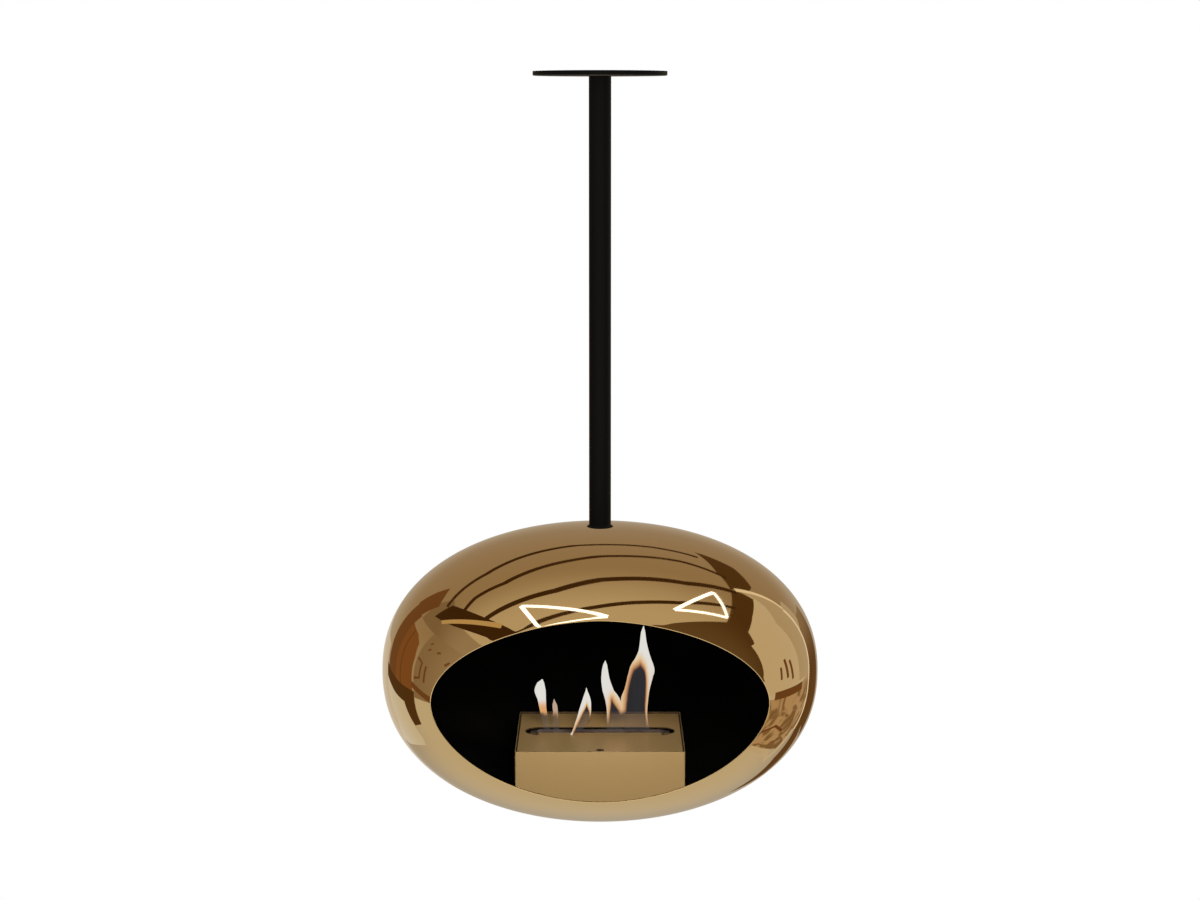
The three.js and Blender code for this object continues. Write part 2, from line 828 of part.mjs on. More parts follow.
add("dome_shell", domeShell(), polishedGold);
add("dome_liner", domeLiner(), chamberBlack);
add("swivel_hub", swivelHub(), zincSteel);
add("swivel_bush", swivelBush(), bronze);
spread(weldStudCircle, weldStudCount).forEach(([x, y], i) => {
  add(`weld_stud_${i + 1}`, weldStud().translate(x, y, 0), zincSteel);
  add(`hub_nut_${i + 1}`, hubNut().translate(x, y, 0), zincSteel);
});
add("hearth_plate", hearthPlate(), chamberBlack);
add("burner_casing", burnerCasing(), satinGold);
casingScrewPlaces.forEach((place, i) => {
  add(`floor_post_${i + 1}`, floorPost(place), zincSteel);
  add(`casing_screw_${i + 1}`, casingScrew(place), zincSteel);
});
add("ledge_front", ledge(-1), stainless);
add("ledge_rear", ledge(1), stainless);
add("fuel_tank", fuelTank(), stainless);
add("tank_cover", tankCover(), stainless);
add("tank_screw_front", tankScrew(tankScrewPlaces[0]), zincSteel);
add("tank_screw_rear", tankScrew(tankScrewPlaces[1]), zincSteel);
add("ceramic_wool", ceramicWool(), mineralWool);
add("wool_grid", woolGrid(), stainless);

add("top_plate", topPlate(), satinGold);
add("damper_rail_left", damperRail(-1), stainless);
add("damper_rail_right", damperRail(1), stainless);
add("damper_plate", damperPlate(), satinGold);

export default fireplace;
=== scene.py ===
# A hanging fireplace: a polished gold dome, open at the front, on a black ceiling pole, with a lit burner.
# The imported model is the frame. This file gives it its surfaces, its smooth skins, the wool and the flames.
import bpy
import json
import math
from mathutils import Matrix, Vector


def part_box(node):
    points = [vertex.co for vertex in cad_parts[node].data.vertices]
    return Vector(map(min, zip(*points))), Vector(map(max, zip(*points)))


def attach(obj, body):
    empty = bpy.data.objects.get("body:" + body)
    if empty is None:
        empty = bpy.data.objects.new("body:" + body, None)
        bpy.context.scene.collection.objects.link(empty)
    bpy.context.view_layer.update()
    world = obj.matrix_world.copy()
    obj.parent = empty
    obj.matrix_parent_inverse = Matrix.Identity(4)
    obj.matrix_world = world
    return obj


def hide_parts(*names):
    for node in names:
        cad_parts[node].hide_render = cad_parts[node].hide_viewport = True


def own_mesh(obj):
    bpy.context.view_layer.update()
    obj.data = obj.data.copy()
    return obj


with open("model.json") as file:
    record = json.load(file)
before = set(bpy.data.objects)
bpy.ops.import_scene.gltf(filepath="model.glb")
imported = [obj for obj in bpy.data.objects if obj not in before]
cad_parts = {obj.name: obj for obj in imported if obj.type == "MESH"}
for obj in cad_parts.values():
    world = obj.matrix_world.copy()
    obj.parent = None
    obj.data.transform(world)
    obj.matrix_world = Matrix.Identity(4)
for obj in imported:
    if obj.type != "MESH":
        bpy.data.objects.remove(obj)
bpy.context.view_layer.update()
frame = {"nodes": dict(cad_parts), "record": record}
record = frame["record"]
slotOf = {part["node"]: part["material_slot"] for part in record["subparts"]}
print("frame loaded:", len(frame["nodes"]), "nodes")

# camera

cameraSetup = {
    "distance": 3.1481,  # in front of the pole
    "drop": 0.0499,  # below the ceiling
    "tiltDown": 8.33,  # degrees
    "lens": 69.89,
    "sensor": 36.0,
}


def placeCamera():
    tilt = math.radians(90 - cameraSetup["tiltDown"])
    spot = (0, -cameraSetup["distance"], -cameraSetup["drop"])
    bpy.ops.object.camera_add(location=spot, rotation=(tilt, 0, 0))
    camera = bpy.context.object
    camera.data.lens = cameraSetup["lens"]
    camera.data.sensor_width = cameraSetup["sensor"]
    bpy.context.scene.camera = camera


placeCamera()
bpy.context.scene.view_settings.view_transform = "Standard"
print("camera placed")

# small tools

edgeAngle = math.radians(35)  # edges sharper than this are rounded, and stay crisp in the shading
weldGap = 1e-6  # corners nearer than this are one
past = 0.01  # how far a drill or cutter runs past what it cuts


def clearSelection():
    if bpy.context.object and bpy.context.object.mode != "OBJECT":
        bpy.ops.object.mode_set(mode="OBJECT")
    bpy.ops.object.select_all(action="DESELECT")


def pick(piece):
    clearSelection()
    piece.select_set(True)
    bpy.context.view_layer.objects.active = piece


def named(name):
    piece = bpy.context.object
    piece.name = name
    piece.data.name = name
    return piece


def settle(piece):  # the place and size go into the mesh
    pick(piece)
    bpy.ops.object.transform_apply(location=True, rotation=True, scale=True)


def applied(piece, kind, **values):
    pick(piece)
    modifier = piece.modifiers.new(kind.title(), kind)
    for key, value in values.items():
        setattr(modifier, key, value)
    bpy.ops.object.modifier_apply(modifier=modifier.name)


def cutAway(piece, *cutters):
    for cutter in cutters:
        applied(piece, "BOOLEAN", operation="DIFFERENCE", solver="EXACT", object=cutter)
        bpy.data.objects.remove(cutter)


def roundEdges(piece, width, steps=2):
    applied(
        piece, "BEVEL", width=width, segments=steps, limit_method="ANGLE", angle_limit=edgeAngle,
        harden_normals=False,
    )


def shadeSmooth(piece):
    pick(piece)
    bpy.ops.object.shade_smooth_by_angle(angle=edgeAngle)
    applied(piece, "WEIGHTED_NORMAL", keep_sharp=True)


def softenEdges(piece, width):
    roundEdges(piece, width)
    shadeSmooth(piece)


def dress(piece, material, body, *nodes):
    piece.data.materials.clear()
    piece.data.materials.append(material)
    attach(piece, body)
    if nodes:
        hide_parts(*nodes)
    print("made", piece.name, len(piece.data.polygons), "faces")
    return piece


def mark(piece, name, value):  # a number on every corner of the mesh, which its material reads
    layer = piece.data.attributes.new(name, "FLOAT", "POINT")
    for vertex in piece.data.vertices:
        layer.data[vertex.index].value = value(vertex)


def choose(piece, kind, wanted):  # into edit mode with only the wanted corners, edges or faces selected
    pick(piece)
    bpy.ops.object.mode_set(mode="EDIT")
    bpy.ops.mesh.select_mode(type=kind)
    bpy.ops.mesh.select_all(action="DESELECT")
    bpy.ops.object.mode_set(mode="OBJECT")
    parts = {"VERT": piece.data.vertices, "EDGE": piece.data.edges, "FACE": piece.data.polygons}[kind]
    for part in parts:
        part.select = wanted(part)
    bpy.ops.object.mode_set(mode="EDIT")


def done():
    bpy.ops.object.mode_set(mode="OBJECT")


def block(name, low, high, cornerRadius=0, cornerSteps=6):  # a block with its upright edges rounded
    clearSelection()
    low, high = Vector(low), Vector(high)
    bpy.ops.mesh.primitive_cube_add(size=1, location=(low + high) / 2)
    piece = named(name)
    piece.scale = high - low
    settle(piece)
    if cornerRadius:
        corners = piece.data.vertices
        apart = lambda first, second: (corners[first].co - corners[second].co).to_2d().length
        choose(piece, "EDGE", lambda edge: apart(*edge.vertices) < weldGap)
        bpy.ops.mesh.bevel(offset=cornerRadius, segments=cornerSteps, affect="EDGES", clamp_overlap=True)
        bpy.ops.mesh.select_all(action="SELECT")
        bpy.ops.mesh.remove_doubles(threshold=weldGap)
        done()
    return piece


def drill(radius, x, y, low, high, sides=48):
    clearSelection()
    spot = (x, y, (low + high) / 2)
    bpy.ops.mesh.primitive_cylinder_add(vertices=sides, radius=radius, depth=high - low, location=spot)
    piece = named("drill")
    settle(piece)
    return piece


def spun(name, profile, steps=96):  # a closed section of (radius, height) points, turned about the pole
    clearSelection()
    radius, height = profile[0]
    bpy.ops.mesh.primitive_plane_add(size=0.001, location=(radius, 0, height))
    piece = named(name)
    settle(piece)
    bpy.ops.object.mode_set(mode="EDIT")
    bpy.ops.mesh.select_all(action="SELECT")
    bpy.ops.mesh.merge(type="CENTER")
    for (r0, z0), (r1, z1) in zip(profile, profile[1:] + profile[:1]):
        bpy.ops.mesh.extrude_region_move(TRANSFORM_OT_translate={"value": (r1 - r0, 0, z1 - z0)})
    bpy.ops.mesh.select_all(action="SELECT")
    bpy.ops.mesh.spin(steps=steps, angle=2 * math.pi, center=(0, 0, 0), axis=(0, 0, 1))
    bpy.ops.mesh.select_all(action="SELECT")
    bpy.ops.mesh.remove_doubles(threshold=weldGap)
    bpy.ops.mesh.normals_make_consistent(inside=False)
    done()
    return piece


# finishes


def newMaterial(name, **values):
    material = bpy.data.materials.new(name)
    material.use_nodes = True
    shader = material.node_tree.nodes["Principled BSDF"]
    for socket, value in values.items():
        shader.inputs[socket.replace("_", " ")].default_value = value
    return material, material.node_tree, shader


def add(tree, kind, x, y, **values):
    node = tree.nodes.new(kind)
    node.location = (x, y)
    for key, value in values.items():
        setattr(node, key, value)
    return node


def socketOf(group, name, direction, kind="NodeSocketFloat", value=None):
    made = group.interface.new_socket(name=name, in_out=direction, socket_type=kind)
    if value is not None:
        made.default_value = value
    return made


def grain(tree, x, y, scale, detail=2):  # noise over the piece's own coordinates
    place = add(tree, "ShaderNodeTexCoord", x - 250, y)
    noise = add(tree, "ShaderNodeTexNoise", x, y)
    noise.inputs["Scale"].default_value = scale
    noise.inputs["Detail"].default_value = detail
    tree.links.new(place.outputs["Object"], noise.inputs["Vector"])
    return noise


def ranged(tree, value, x, y, low, high):  # a value from 0 to 1 becomes one from low to high
    node = add(tree, "ShaderNodeMapRange", x, y)
    node.inputs["To Min"].default_value = low
    node.inputs["To Max"].default_value = high
    tree.links.new(value, node.inputs["Value"])
    return node.outputs["Result"]


def ramped(tree, value, x, y, *stops):  # a value becomes a colour, from (place, colour) stops
    node = add(tree, "ShaderNodeValToRGB", x, y)
    elements = node.color_ramp.elements
    while len(elements) < len(stops):
        elements.new(0.5)
    for element, (place, color) in zip(elements, stops):
        element.position = place
        element.color = (*color, 1)
    tree.links.new(value, node.inputs["Fac"])
    return node.outputs["Color"]


def worked(tree, operation, x, y, first, second):
    node = add(tree, "ShaderNodeMath", x, y, operation=operation)
    tree.links.new(first, node.inputs[0])
    tree.links.new(second, node.inputs[1])
    return node.outputs[0]


def mixed(tree, factor, x, y, first, second):  # two colours, each a plain one or a node's output
    node = add(tree, "ShaderNodeMix", x, y, data_type="RGBA")
    tree.links.new(factor, node.inputs["Factor"])
    for socket, color in (("A", first), ("B", second)):
        if isinstance(color, tuple):
            node.inputs[socket].default_value = (*color, 1)
        else:
            tree.links.new(color, node.inputs[socket])
    return node.outputs["Result"]


def handlingGroup():  # cloudy smears left by a cloth: puts out a roughness
    group = bpy.data.node_groups.new("handling", "ShaderNodeTree")
    socketOf(group, "Roughness", "INPUT", value=0.1)
    socketOf(group, "Smear", "INPUT", value=0.05)
    socketOf(group, "Scale", "INPUT", value=9.0)
    socketOf(group, "Roughness", "OUTPUT")
    start = add(group, "NodeGroupInput", -900, 0)
    end = add(group, "NodeGroupOutput", 500, 0)
    clouds = grain(group, -600, 120, 9, 5)
    clouds.inputs["Distortion"].default_value = 0.6
    band = add(group, "ShaderNodeMapRange", -350, 120)
    band.inputs["From Min"].default_value = 0.42
    band.inputs["From Max"].default_value = 0.68
    group.links.new(start.outputs["Scale"], clouds.inputs["Scale"])
    group.links.new(clouds.outputs["Fac"], band.inputs["Value"])
    smear = worked(group, "MULTIPLY", -100, 120, band.outputs["Result"], start.outputs["Smear"])
    total = worked(group, "ADD", 150, 120, smear, start.outputs["Roughness"])
    group.links.new(total, end.inputs["Roughness"])
    return group


def brushedGroup():  # fine lines drawn out along X, Y or Z: puts out a mask
    group = bpy.data.node_groups.new("brushed", "ShaderNodeTree")
    socketOf(group, "Stretch", "INPUT", "NodeSocketVector")
    socketOf(group, "Mask", "OUTPUT")
    start = add(group, "NodeGroupInput", -700, 0)
    end = add(group, "NodeGroupOutput", 300, 0)
    place = add(group, "ShaderNodeTexCoord", -900, -200)
    drawn = add(group, "ShaderNodeVectorMath", -500, 0, operation="MULTIPLY")
    strands = add(group, "ShaderNodeTexNoise", -300, 0)
    strands.inputs["Scale"].default_value = 1
    strands.inputs["Detail"].default_value = 4
    strands.inputs["Roughness"].default_value = 0.7
    group.links.new(place.outputs["Object"], drawn.inputs[0])
    group.links.new(start.outputs["Stretch"], drawn.inputs[1])
    group.links.new(drawn.outputs["Vector"], strands.inputs["Vector"])
    group.links.new(strands.outputs["Fac"], end.inputs["Mask"])
    return group


handling = handlingGroup()
brushed = brushedGroup()


def useGroup(tree, group, x, y, **values):
    node = add(tree, "ShaderNodeGroup", x, y, node_tree=group)
    for socket, value in values.items():
        node.inputs[socket].default_value = value
    return node


def bumpInto(tree, shader, height, distance):
    bump = add(tree, "ShaderNodeBump", -250, -300)
    bump.inputs["Strength"].default_value = 1
    bump.inputs["Distance"].default_value = distance
    tree.links.new(height, bump.inputs["Height"])
    tree.links.new(bump.outputs["Normal"], shader.inputs["Normal"])


def polishedGoldFinish():
    material, tree, shader = newMaterial(
        "polishedGold", Metallic=1, Base_Color=(0.70, 0.50, 0.25, 1), Roughness=0.04
    )
    marks = useGroup(tree, handling, -600, 0, Roughness=0.02, Smear=0.035, Scale=7.0)
    tree.links.new(marks.outputs["Roughness"], shader.inputs["Roughness"])
    ripple = grain(tree, -600, -300, 14, 1)
    bumpInto(tree, shader, ripple.outputs["Fac"], 0.00012)
    return material


def satinGoldFinish():  # bare where the piece's marked attribute is 0, darkened to a painted shade where it is 1
    # the dark tone is painted shade, used on the casing's inner walls, the lid's edge lines and the damper's
    # ends
    gold, paintedShade = (0.60, 0.385, 0.155), (0.022, 0.015, 0.009)
    material, tree, shader = newMaterial("satinGold", Metallic=0.2, Base_Color=(*gold, 1), Roughness=0.42)
    strands = useGroup(tree, brushed, -700, 0, Stretch=(6, 900, 900)).outputs["Mask"]
    tree.links.new(ranged(tree, strands, -400, 0, 0.36, 0.48), shader.inputs["Roughness"])
    bumpInto(tree, shader, strands, 0.00002)
    # the marked amount, broken up by noise, mixes the painted shade tone into the gold
    marked = add(tree, "ShaderNodeAttribute", -900, 300, attribute_name="paintedShade")
    clouds = grain(tree, -900, 500, 60)
    patchy = ranged(tree, clouds.outputs["Fac"], -700, 500, 0.75, 1)
    amount = worked(tree, "MULTIPLY", -500, 400, patchy, marked.outputs["Fac"])
    tree.links.new(mixed(tree, amount, -250, 300, gold, paintedShade), shader.inputs["Base Color"])
    return material


def blackCoatFinish():
    material, tree, shader = newMaterial(
        "blackCoat", Base_Color=(0.0014, 0.0014, 0.0014, 1), Roughness=0.5, Specular_IOR_Level=0.09
    )
    marks = useGroup(tree, handling, -600, 150, Roughness=0.46, Smear=0.1, Scale=6.0)
    tree.links.new(marks.outputs["Roughness"], shader.inputs["Roughness"])
    powder = grain(tree, -600, -100, 900)
    bumpInto(tree, shader, powder.outputs["Fac"], 0.00004)
    return material


def cloudedFinish(name, clouds, thin, thick, bump, **values):  # two tones in clouds of noise
    material, tree, shader = newMaterial(name, **values)
    noise = grain(tree, -700, 100, *clouds).outputs["Fac"]
    tree.links.new(ramped(tree, noise, -450, 100, thin, thick), shader.inputs["Base Color"])
    height = grain(tree, -700, -150, bump["scale"]).outputs["Fac"] if "scale" in bump else noise
    bumpInto(tree, shader, height, bump["depth"])
    return material


def brushedMetal(name, color, low, high, stretch):
    material, tree, shader = newMaterial(name, Metallic=1, Base_Color=(*color, 1))
    strands = useGroup(tree, brushed, -700, 0, Stretch=stretch).outputs["Mask"]
    tree.links.new(ranged(tree, strands, -400, 0, low, high), shader.inputs["Roughness"])
    bumpInto(tree, shader, strands, 0.00001)
    return material


finishes = {
    "polished_gold": polishedGoldFinish(),
    "satin_gold": satinGoldFinish(),
    "black_coat": blackCoatFinish(),
    "chamber_black": cloudedFinish(
        "chamberBlack", (11, 4), (0.35, (0.0016, 0.0014, 0.0013)), (0.7, (0.005, 0.0044, 0.0038)),
        {"scale": 1100, "depth": 0.00005}, Roughness=0.9, Specular_IOR_Level=0.05,
    ),
    "stainless": brushedMetal("stainless", (0.62, 0.6, 0.57), 0.28, 0.42, (8, 700, 700)),
    "zinc_steel": brushedMetal("zincSteel", (0.6, 0.61, 0.63), 0.25, 0.4, (300, 300, 300)),
    "bronze": brushedMetal("bronze", (0.5, 0.3, 0.13), 0.25, 0.4, (60, 60, 900)),
    "mineral_wool": cloudedFinish(
        "mineralWool", (220, 6), (0.3, (0.42, 0.38, 0.31)), (0.65, (0.78, 0.74, 0.66)),
        {"depth": 0.0006}, Roughness=0.95,
    ),
}
scorchedSteel = cloudedFinish(  # the tank's mouth, browned by the flames
    "scorchedSteel", (45, 4), (0.35, (0.09, 0.062, 0.05)), (0.65, (0.19, 0.145, 0.12)),
    {"depth": 0.00003}, Metallic=0.3, Roughness=0.55,
)
for node, piece in frame["nodes"].items():
    piece.data.materials.clear()
    piece.data.materials.append(finishes[slotOf[node]])
frame["nodes"]["tank_cover"].data.materials[0] = scorchedSteel
print("finishes made:", len(finishes) + 1)

# dome

dome = {
    "height": 0.392,
    "roundness": 2.2,  # exponent of the meridian's superellipse
    "sheet": 0.0015,
    "openingWidth": 0.4412,
    "openingHeight": 0.239,
    "openingRoundness": 1.86,
    "openingLift": 0.0005,  # of the opening's middle, above the dome's widest circle
    "studHole": 0.0063,
    "edgeRounding": 0.0007,
    "holeRounding": 0.0002,
    "around": 256,
    "rings": 120,  # of the ball it starts from, front to back
    "cutRings": 20,  # of those, cut off at the front
    "firstRing": 0.006,  # share of the way taken by the first ring, which keeps the edge crisp
    "edgeSteps": 3,
}
shellLow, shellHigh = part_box("dome_shell")
dome["radius"] = shellHigh.x
dome["middle"] = shellLow.z + dome["height"] / 2

liner = {
    "inset": 0.0018,
    "sheet": 0.001,
    "reveal": 0.001,  # how far it stops short of the shell's cut edge
    "hubHole": 0.0403,
    "hubDrill": 0.03,  # how deep the drill for it goes
    "edgeRounding": 0.0003,
    "around": 144,
    "rings": 72,
    "cutRings": 12,
}


def signedPower(value, power):
    return math.copysign(abs(value) ** power, value)


def openingEdge(turn, grow):  # a point of the opening's outline, across and up
    power = 2 / dome["openingRoundness"]
    across = (dome["openingWidth"] / 2 + grow) * signedPower(math.cos(turn), power)
    up = (dome["openingHeight"] / 2 + grow) * signedPower(math.sin(turn), power)
    return across, up + dome["openingLift"]


def onSkin(direction, inset):  # where a ray from the dome's middle meets the skin, moved in along its normal
    radius, half, power = dome["radius"], dome["height"] / 2, dome["roundness"]
    flat = math.hypot(direction.x, direction.y)
    reach = ((flat / radius) ** power + (abs(direction.z) / half) ** power) ** (-1 / power)
    point = direction * reach
    out = (flat * reach / radius) ** (power - 1) / radius
    rise = signedPower(point.z / half, power - 1) / half
    flat = max(flat, 1e-9)  # it is 0 at the very top
    normal = Vector((out * direction.x / flat, out * direction.y / flat, rise))
    return point - normal.normalized() * inset


def frontEdge(turn, inset, grow):  # direction of the opening's edge from the dome's middle
    across, up = openingEdge(turn, grow)
    radius, half, power = dome["radius"] - inset, dome["height"] / 2 - inset, dome["roundness"]
    circle = radius * (1 - (abs(up) / half) ** power) ** (1 / power)
    return Vector((across, -math.sqrt(circle**2 - across**2), up)).normalized()


def domeSkin(name, inset, grow, around, rings, cutRings):
    clearSelection()
    bpy.ops.mesh.primitive_uv_sphere_add(
        segments=around, ring_count=rings, radius=1, rotation=(-math.pi / 2, 0, 0)
    )
    piece = named(name)
    settle(piece)
    ringOf = lambda place: math.acos(max(-1, min(1, -place.y))) * rings / math.pi
    choose(piece, "VERT", lambda vertex: ringOf(vertex.co) < cutRings - 0.5)
    bpy.ops.mesh.delete(type="VERT")
    done()
    back = Vector((0, 1, 0))
    narrow = dome["firstRing"]
    for vertex in piece.data.vertices:
        place = vertex.co.copy()
        ring = ringOf(place) - cutRings
        share = narrow + (1 - narrow) * (ring - 1) / (rings - cutRings - 1) if ring > 0.5 else 0
        edge = frontEdge(math.atan2(place.z, place.x), inset, grow)
        if share > 1 - 1e-4:  # the pole at the back
            direction = back
        else:
            span = edge.angle(back)
            direction = edge * math.sin((1 - share) * span) + back * math.sin(share * span)
            direction /= math.sin(span)
        vertex.co = onSkin(direction, inset) + Vector((0, 0, dome["middle"]))
    return piece


def makeShell():
    piece = domeSkin("dome_skin", 0, 0, dome["around"], dome["rings"], dome["cutRings"])
    applied(piece, "SOLIDIFY", thickness=dome["sheet"], offset=-1, use_even_offset=True)
    roundEdges(piece, dome["edgeRounding"], dome["edgeSteps"])
    top = dome["middle"] + dome["height"] / 2
    cutAway(piece, drill(dome["studHole"], 0, 0, top - past, top + past))
    softenEdges(piece, dome["holeRounding"])
    return dress(piece, finishes["polished_gold"], "dome", "dome_shell")


def makeLiner():
    piece = domeSkin(
        "dome_lining", liner["inset"], liner["reveal"], liner["around"], liner["rings"], liner["cutRings"]
    )
    applied(piece, "SOLIDIFY", thickness=liner["sheet"], offset=-1, use_even_offset=True)
    top = dome["middle"] + dome["height"] / 2
    cutAway(piece, drill(liner["hubHole"], 0, 0, top - liner["hubDrill"], top + past))
    softenEdges(piece, liner["edgeRounding"])
    return dress(piece, finishes["chamber_black"], "dome", "dome_liner")


makeShell()
makeLiner()

# plate, pole and collar

plate = {
    "bevel": 0.001,
    "fixingInset": 0.02,
    "hole": 0.0035,
    "sink": 0.0065,
    "sinkBelow": 0.002,  # how far the countersink's cutter starts below the plate
    "edgeRounding": 0.0003,
    "around": 144,
}
pole = {"wall": 0.002, "edgeRounding": 0.0004, "grubHole": 0.0028, "grubInset": 0.018, "grubSides": 32}
collar = {
    "proud": 0.0032,  # of the trumpet's lip, past the tube
    "lip": 0.0011,
    "lipEdge": 0.0004,  # the upright part of the lip
    "under": 0.0016,  # taken off below the lip
    "flareSteps": 7,
    "bore": 0.0063,
    "edgeRounding": 0.0002,
}


def makePlate():
    low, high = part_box("ceiling_plate")
    radius, bevel = high.x, plate["bevel"]
    section = [(0, low.z), (radius - bevel, low.z), (radius, low.z + bevel), (radius, 0), (0, 0)]
    piece = spun("plate_disc", section, plate["around"])
    circle, below = radius - plate["fixingInset"], plate["sinkBelow"]
    for quarter in range(4):
        turn = math.pi / 4 + quarter * math.pi / 2
        x, y = circle * math.cos(turn), circle * math.sin(turn)
        cutAway(piece, drill(plate["hole"], x, y, low.z - past, past))
        deep = plate["sink"] - plate["hole"]
        clearSelection()
        bpy.ops.mesh.primitive_cone_add(
            vertices=48, radius1=plate["sink"] + below, radius2=plate["hole"], depth=deep + below,
            location=(x, y, low.z + (deep - below) / 2),
        )
        sink = named("sink")
        settle(sink)
        cutAway(piece, sink)
    softenEdges(piece, plate["edgeRounding"])
    return dress(piece, finishes["black_coat"], "hanger", "ceiling_plate")


def makePole():
    low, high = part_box("pole")
    outer, inner = high.x, high.x - pole["wall"]
    piece = spun("pole_tube", [(outer, low.z), (outer, high.z), (inner, high.z), (inner, low.z)])
    for height in (high.z - pole["grubInset"], low.z + pole["grubInset"]):
        clearSelection()
        bpy.ops.mesh.primitive_cylinder_add(
            vertices=pole["grubSides"], radius=pole["grubHole"], depth=outer,
            location=(0, outer, height), rotation=(math.pi / 2, 0, 0),
        )
        hole = named("grubHole")
        settle(hole)
        cutAway(piece, hole)
    softenEdges(piece, pole["edgeRounding"])
    return dress(piece, finishes["black_coat"], "hanger", "pole")


def makeCollar():
    low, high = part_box("collar")
    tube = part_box("pole")[1].x
    flare, lip = tube + collar["proud"], low.z + collar["lip"]
    foot = flare - collar["under"]
    section = [(collar["bore"], low.z), (foot, low.z), (flare, lip - collar["lipEdge"]), (flare, lip)]
    for step in range(1, collar["flareSteps"] + 1):
        share = step / collar["flareSteps"]
        section.append((tube + collar["proud"] * (1 - share) ** 2, lip + (high.z - lip) * share))
    section.append((collar["bore"], high.z))
    piece = spun("pole_collar", section)
    softenEdges(piece, collar["edgeRounding"])
    return dress(piece, finishes["black_coat"], "hanger", "collar")


inside = ("ceiling_spigot", "pole_foot_plug", "pole_grub_top", "pole_grub_foot", "swivel_stud")
for hung in [makePlate(), makePole(), makeCollar()] + [frame["nodes"][node] for node in inside]:
    hung.visible_glossy = False  # the dome's crown stays clear of them, as it does in the photograph

# burner

casing = {
    "cornerRadius": 0.0025,
    "wall": 0.0015,
    "edgeRounding": 0.0006,
    "screws": ["casing_screw_1", "casing_screw_2", "casing_screw_3", "casing_screw_4"],
    "screwHole": 0.0028,
    "tankScrews": ["tank_screw_front", "tank_screw_rear"],
    "tankHole": 0.0023,
    "paintedShadeSlack": 0.0002,  # past the inner faces, where the painted shade stops
}
lid = {
    "slotLength": 0.208,
    "slotWidth": 0.042,
    "slotMiddle": 0.017,
    "slotRounding": 0.9999,  # share of half its width, so that its ends are round
    "slotSteps": 24,
    "liftHole": 0.005,
    "liftHoleInset": 0.017,
    "cornerRadius": 0.0025,
    "edgeRounding": 0.0005,
    "paintedShadeBand": 0.0008,  # width of a painted shade line along every edge of its top
}
damper = {
    "cornerRadius": 0.002,
    "cornerSteps": 4,
    "toolHole": 0.0045,
    "toolHoleInset": 0.007,
    "toolHoleX": 0.092,
    "edgeRounding": 0.0003,
    "paintedShadeFrom": 0.084,  # sideways from its middle, where the painted shade at its ends begins
    "paintedShadeFull": 0.087,
    "paintedShadeAmount": 0.85,
}


def makeCasing():
    low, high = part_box("burner_casing")
    piece = block("burner_box", low, high, casing["cornerRadius"])
    choose(piece, "FACE", lambda face: face.normal.z > 0.9)
    bpy.ops.mesh.delete(type="FACE")
    done()
    applied(piece, "SOLIDIFY", thickness=casing["wall"], offset=-1, use_even_offset=True)
    for screws, hole in (("screws", "screwHole"), ("tankScrews", "tankHole")):
        for screw in casing[screws]:
            middle = (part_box(screw)[0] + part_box(screw)[1]) / 2
            cutAway(piece, drill(casing[hole], middle.x, middle.y, low.z - past, low.z + past))
    softenEdges(piece, casing["edgeRounding"])
    # painted shade: the casing's inner walls are darkened as if they were in shadow
    side, front, back = (
        edge - casing["wall"] + casing["paintedShadeSlack"] for edge in (high.x, -low.y, high.y)
    )
    mark(piece, "paintedShade", lambda vertex: abs(vertex.co.x) < side and -front < vertex.co.y < back)
    return dress(piece, finishes["satin_gold"], "dome", "burner_casing")


def makeLid():
    low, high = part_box("top_plate")
    piece = block("burner_lid_plate", low, high, lid["cornerRadius"])
    half, wide, middle = lid["slotLength"] / 2, lid["slotWidth"] / 2, lid["slotMiddle"]
    slotLow = (-half, middle - wide, low.z - past)
    slotHigh = (half, middle + wide, high.z + past)
    slot = block("slotCutter", slotLow, slotHigh, wide * lid["slotRounding"], lid["slotSteps"])
    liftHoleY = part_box("burner_casing")[0].y + casing["wall"] + lid["liftHoleInset"]
    cutAway(piece, slot, drill(lid["liftHole"], 0, liftHoleY, low.z - past, high.z + past))
    roundEdges(piece, lid["edgeRounding"])
    # a narrow band along every edge of the top carries painted shade, a dark gap line
    choose(piece, "FACE", lambda face: face.normal.z > 0.99)
    bpy.ops.mesh.inset(thickness=lid["paintedShadeBand"])
    done()
    unshaded = {vertex.index for vertex in piece.data.vertices if vertex.select}
    mark(piece, "paintedShade", lambda vertex: vertex.index not in unshaded)
    shadeSmooth(piece)
    return dress(piece, finishes["satin_gold"], "burner_lid", "top_plate")


def makeDamper():
    low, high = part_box("damper_plate")
    piece = block("damper_blade", low, high, damper["cornerRadius"], damper["cornerSteps"])
    toolHoleY = high.y - damper["toolHoleInset"]
    for x in (-damper["toolHoleX"], damper["toolHoleX"]):
        cutAway(piece, drill(damper["toolHole"], x, toolHoleY, low.z - past, high.z + past))
    # the blade's ends, seen at the ends of the slot, carry painted shade
    for x in (-damper["paintedShadeFull"], -damper["paintedShadeFrom"], damper["paintedShadeFrom"], damper["paintedShadeFull"]):
        choose(piece, "FACE", lambda face: True)
        bpy.ops.mesh.bisect(plane_co=(x, 0, 0), plane_no=(1, 0, 0))
        done()
    softenEdges(piece, damper["edgeRounding"])
    middle = (damper["paintedShadeFrom"] + damper["paintedShadeFull"]) / 2
    mark(piece, "paintedShade", lambda vertex: damper["paintedShadeAmount"] if abs(vertex.co.x) > middle else 0)
    return dress(piece, finishes["satin_gold"], "damper", "damper_plate")


makeCasing()
makeLid()
makeDamper()

# wool

wool = {
    "shrink": 0.0012,  # its lumps swell into this
    "cornerRadius": 0.006,
    "cornerSteps": 4,
    "voxel": 0.0022,
    "lumps": (0.014, 0.0022),  # size and depth
    "tufts": (0.0035, 0.0009),
    "fill": 0.4,
}


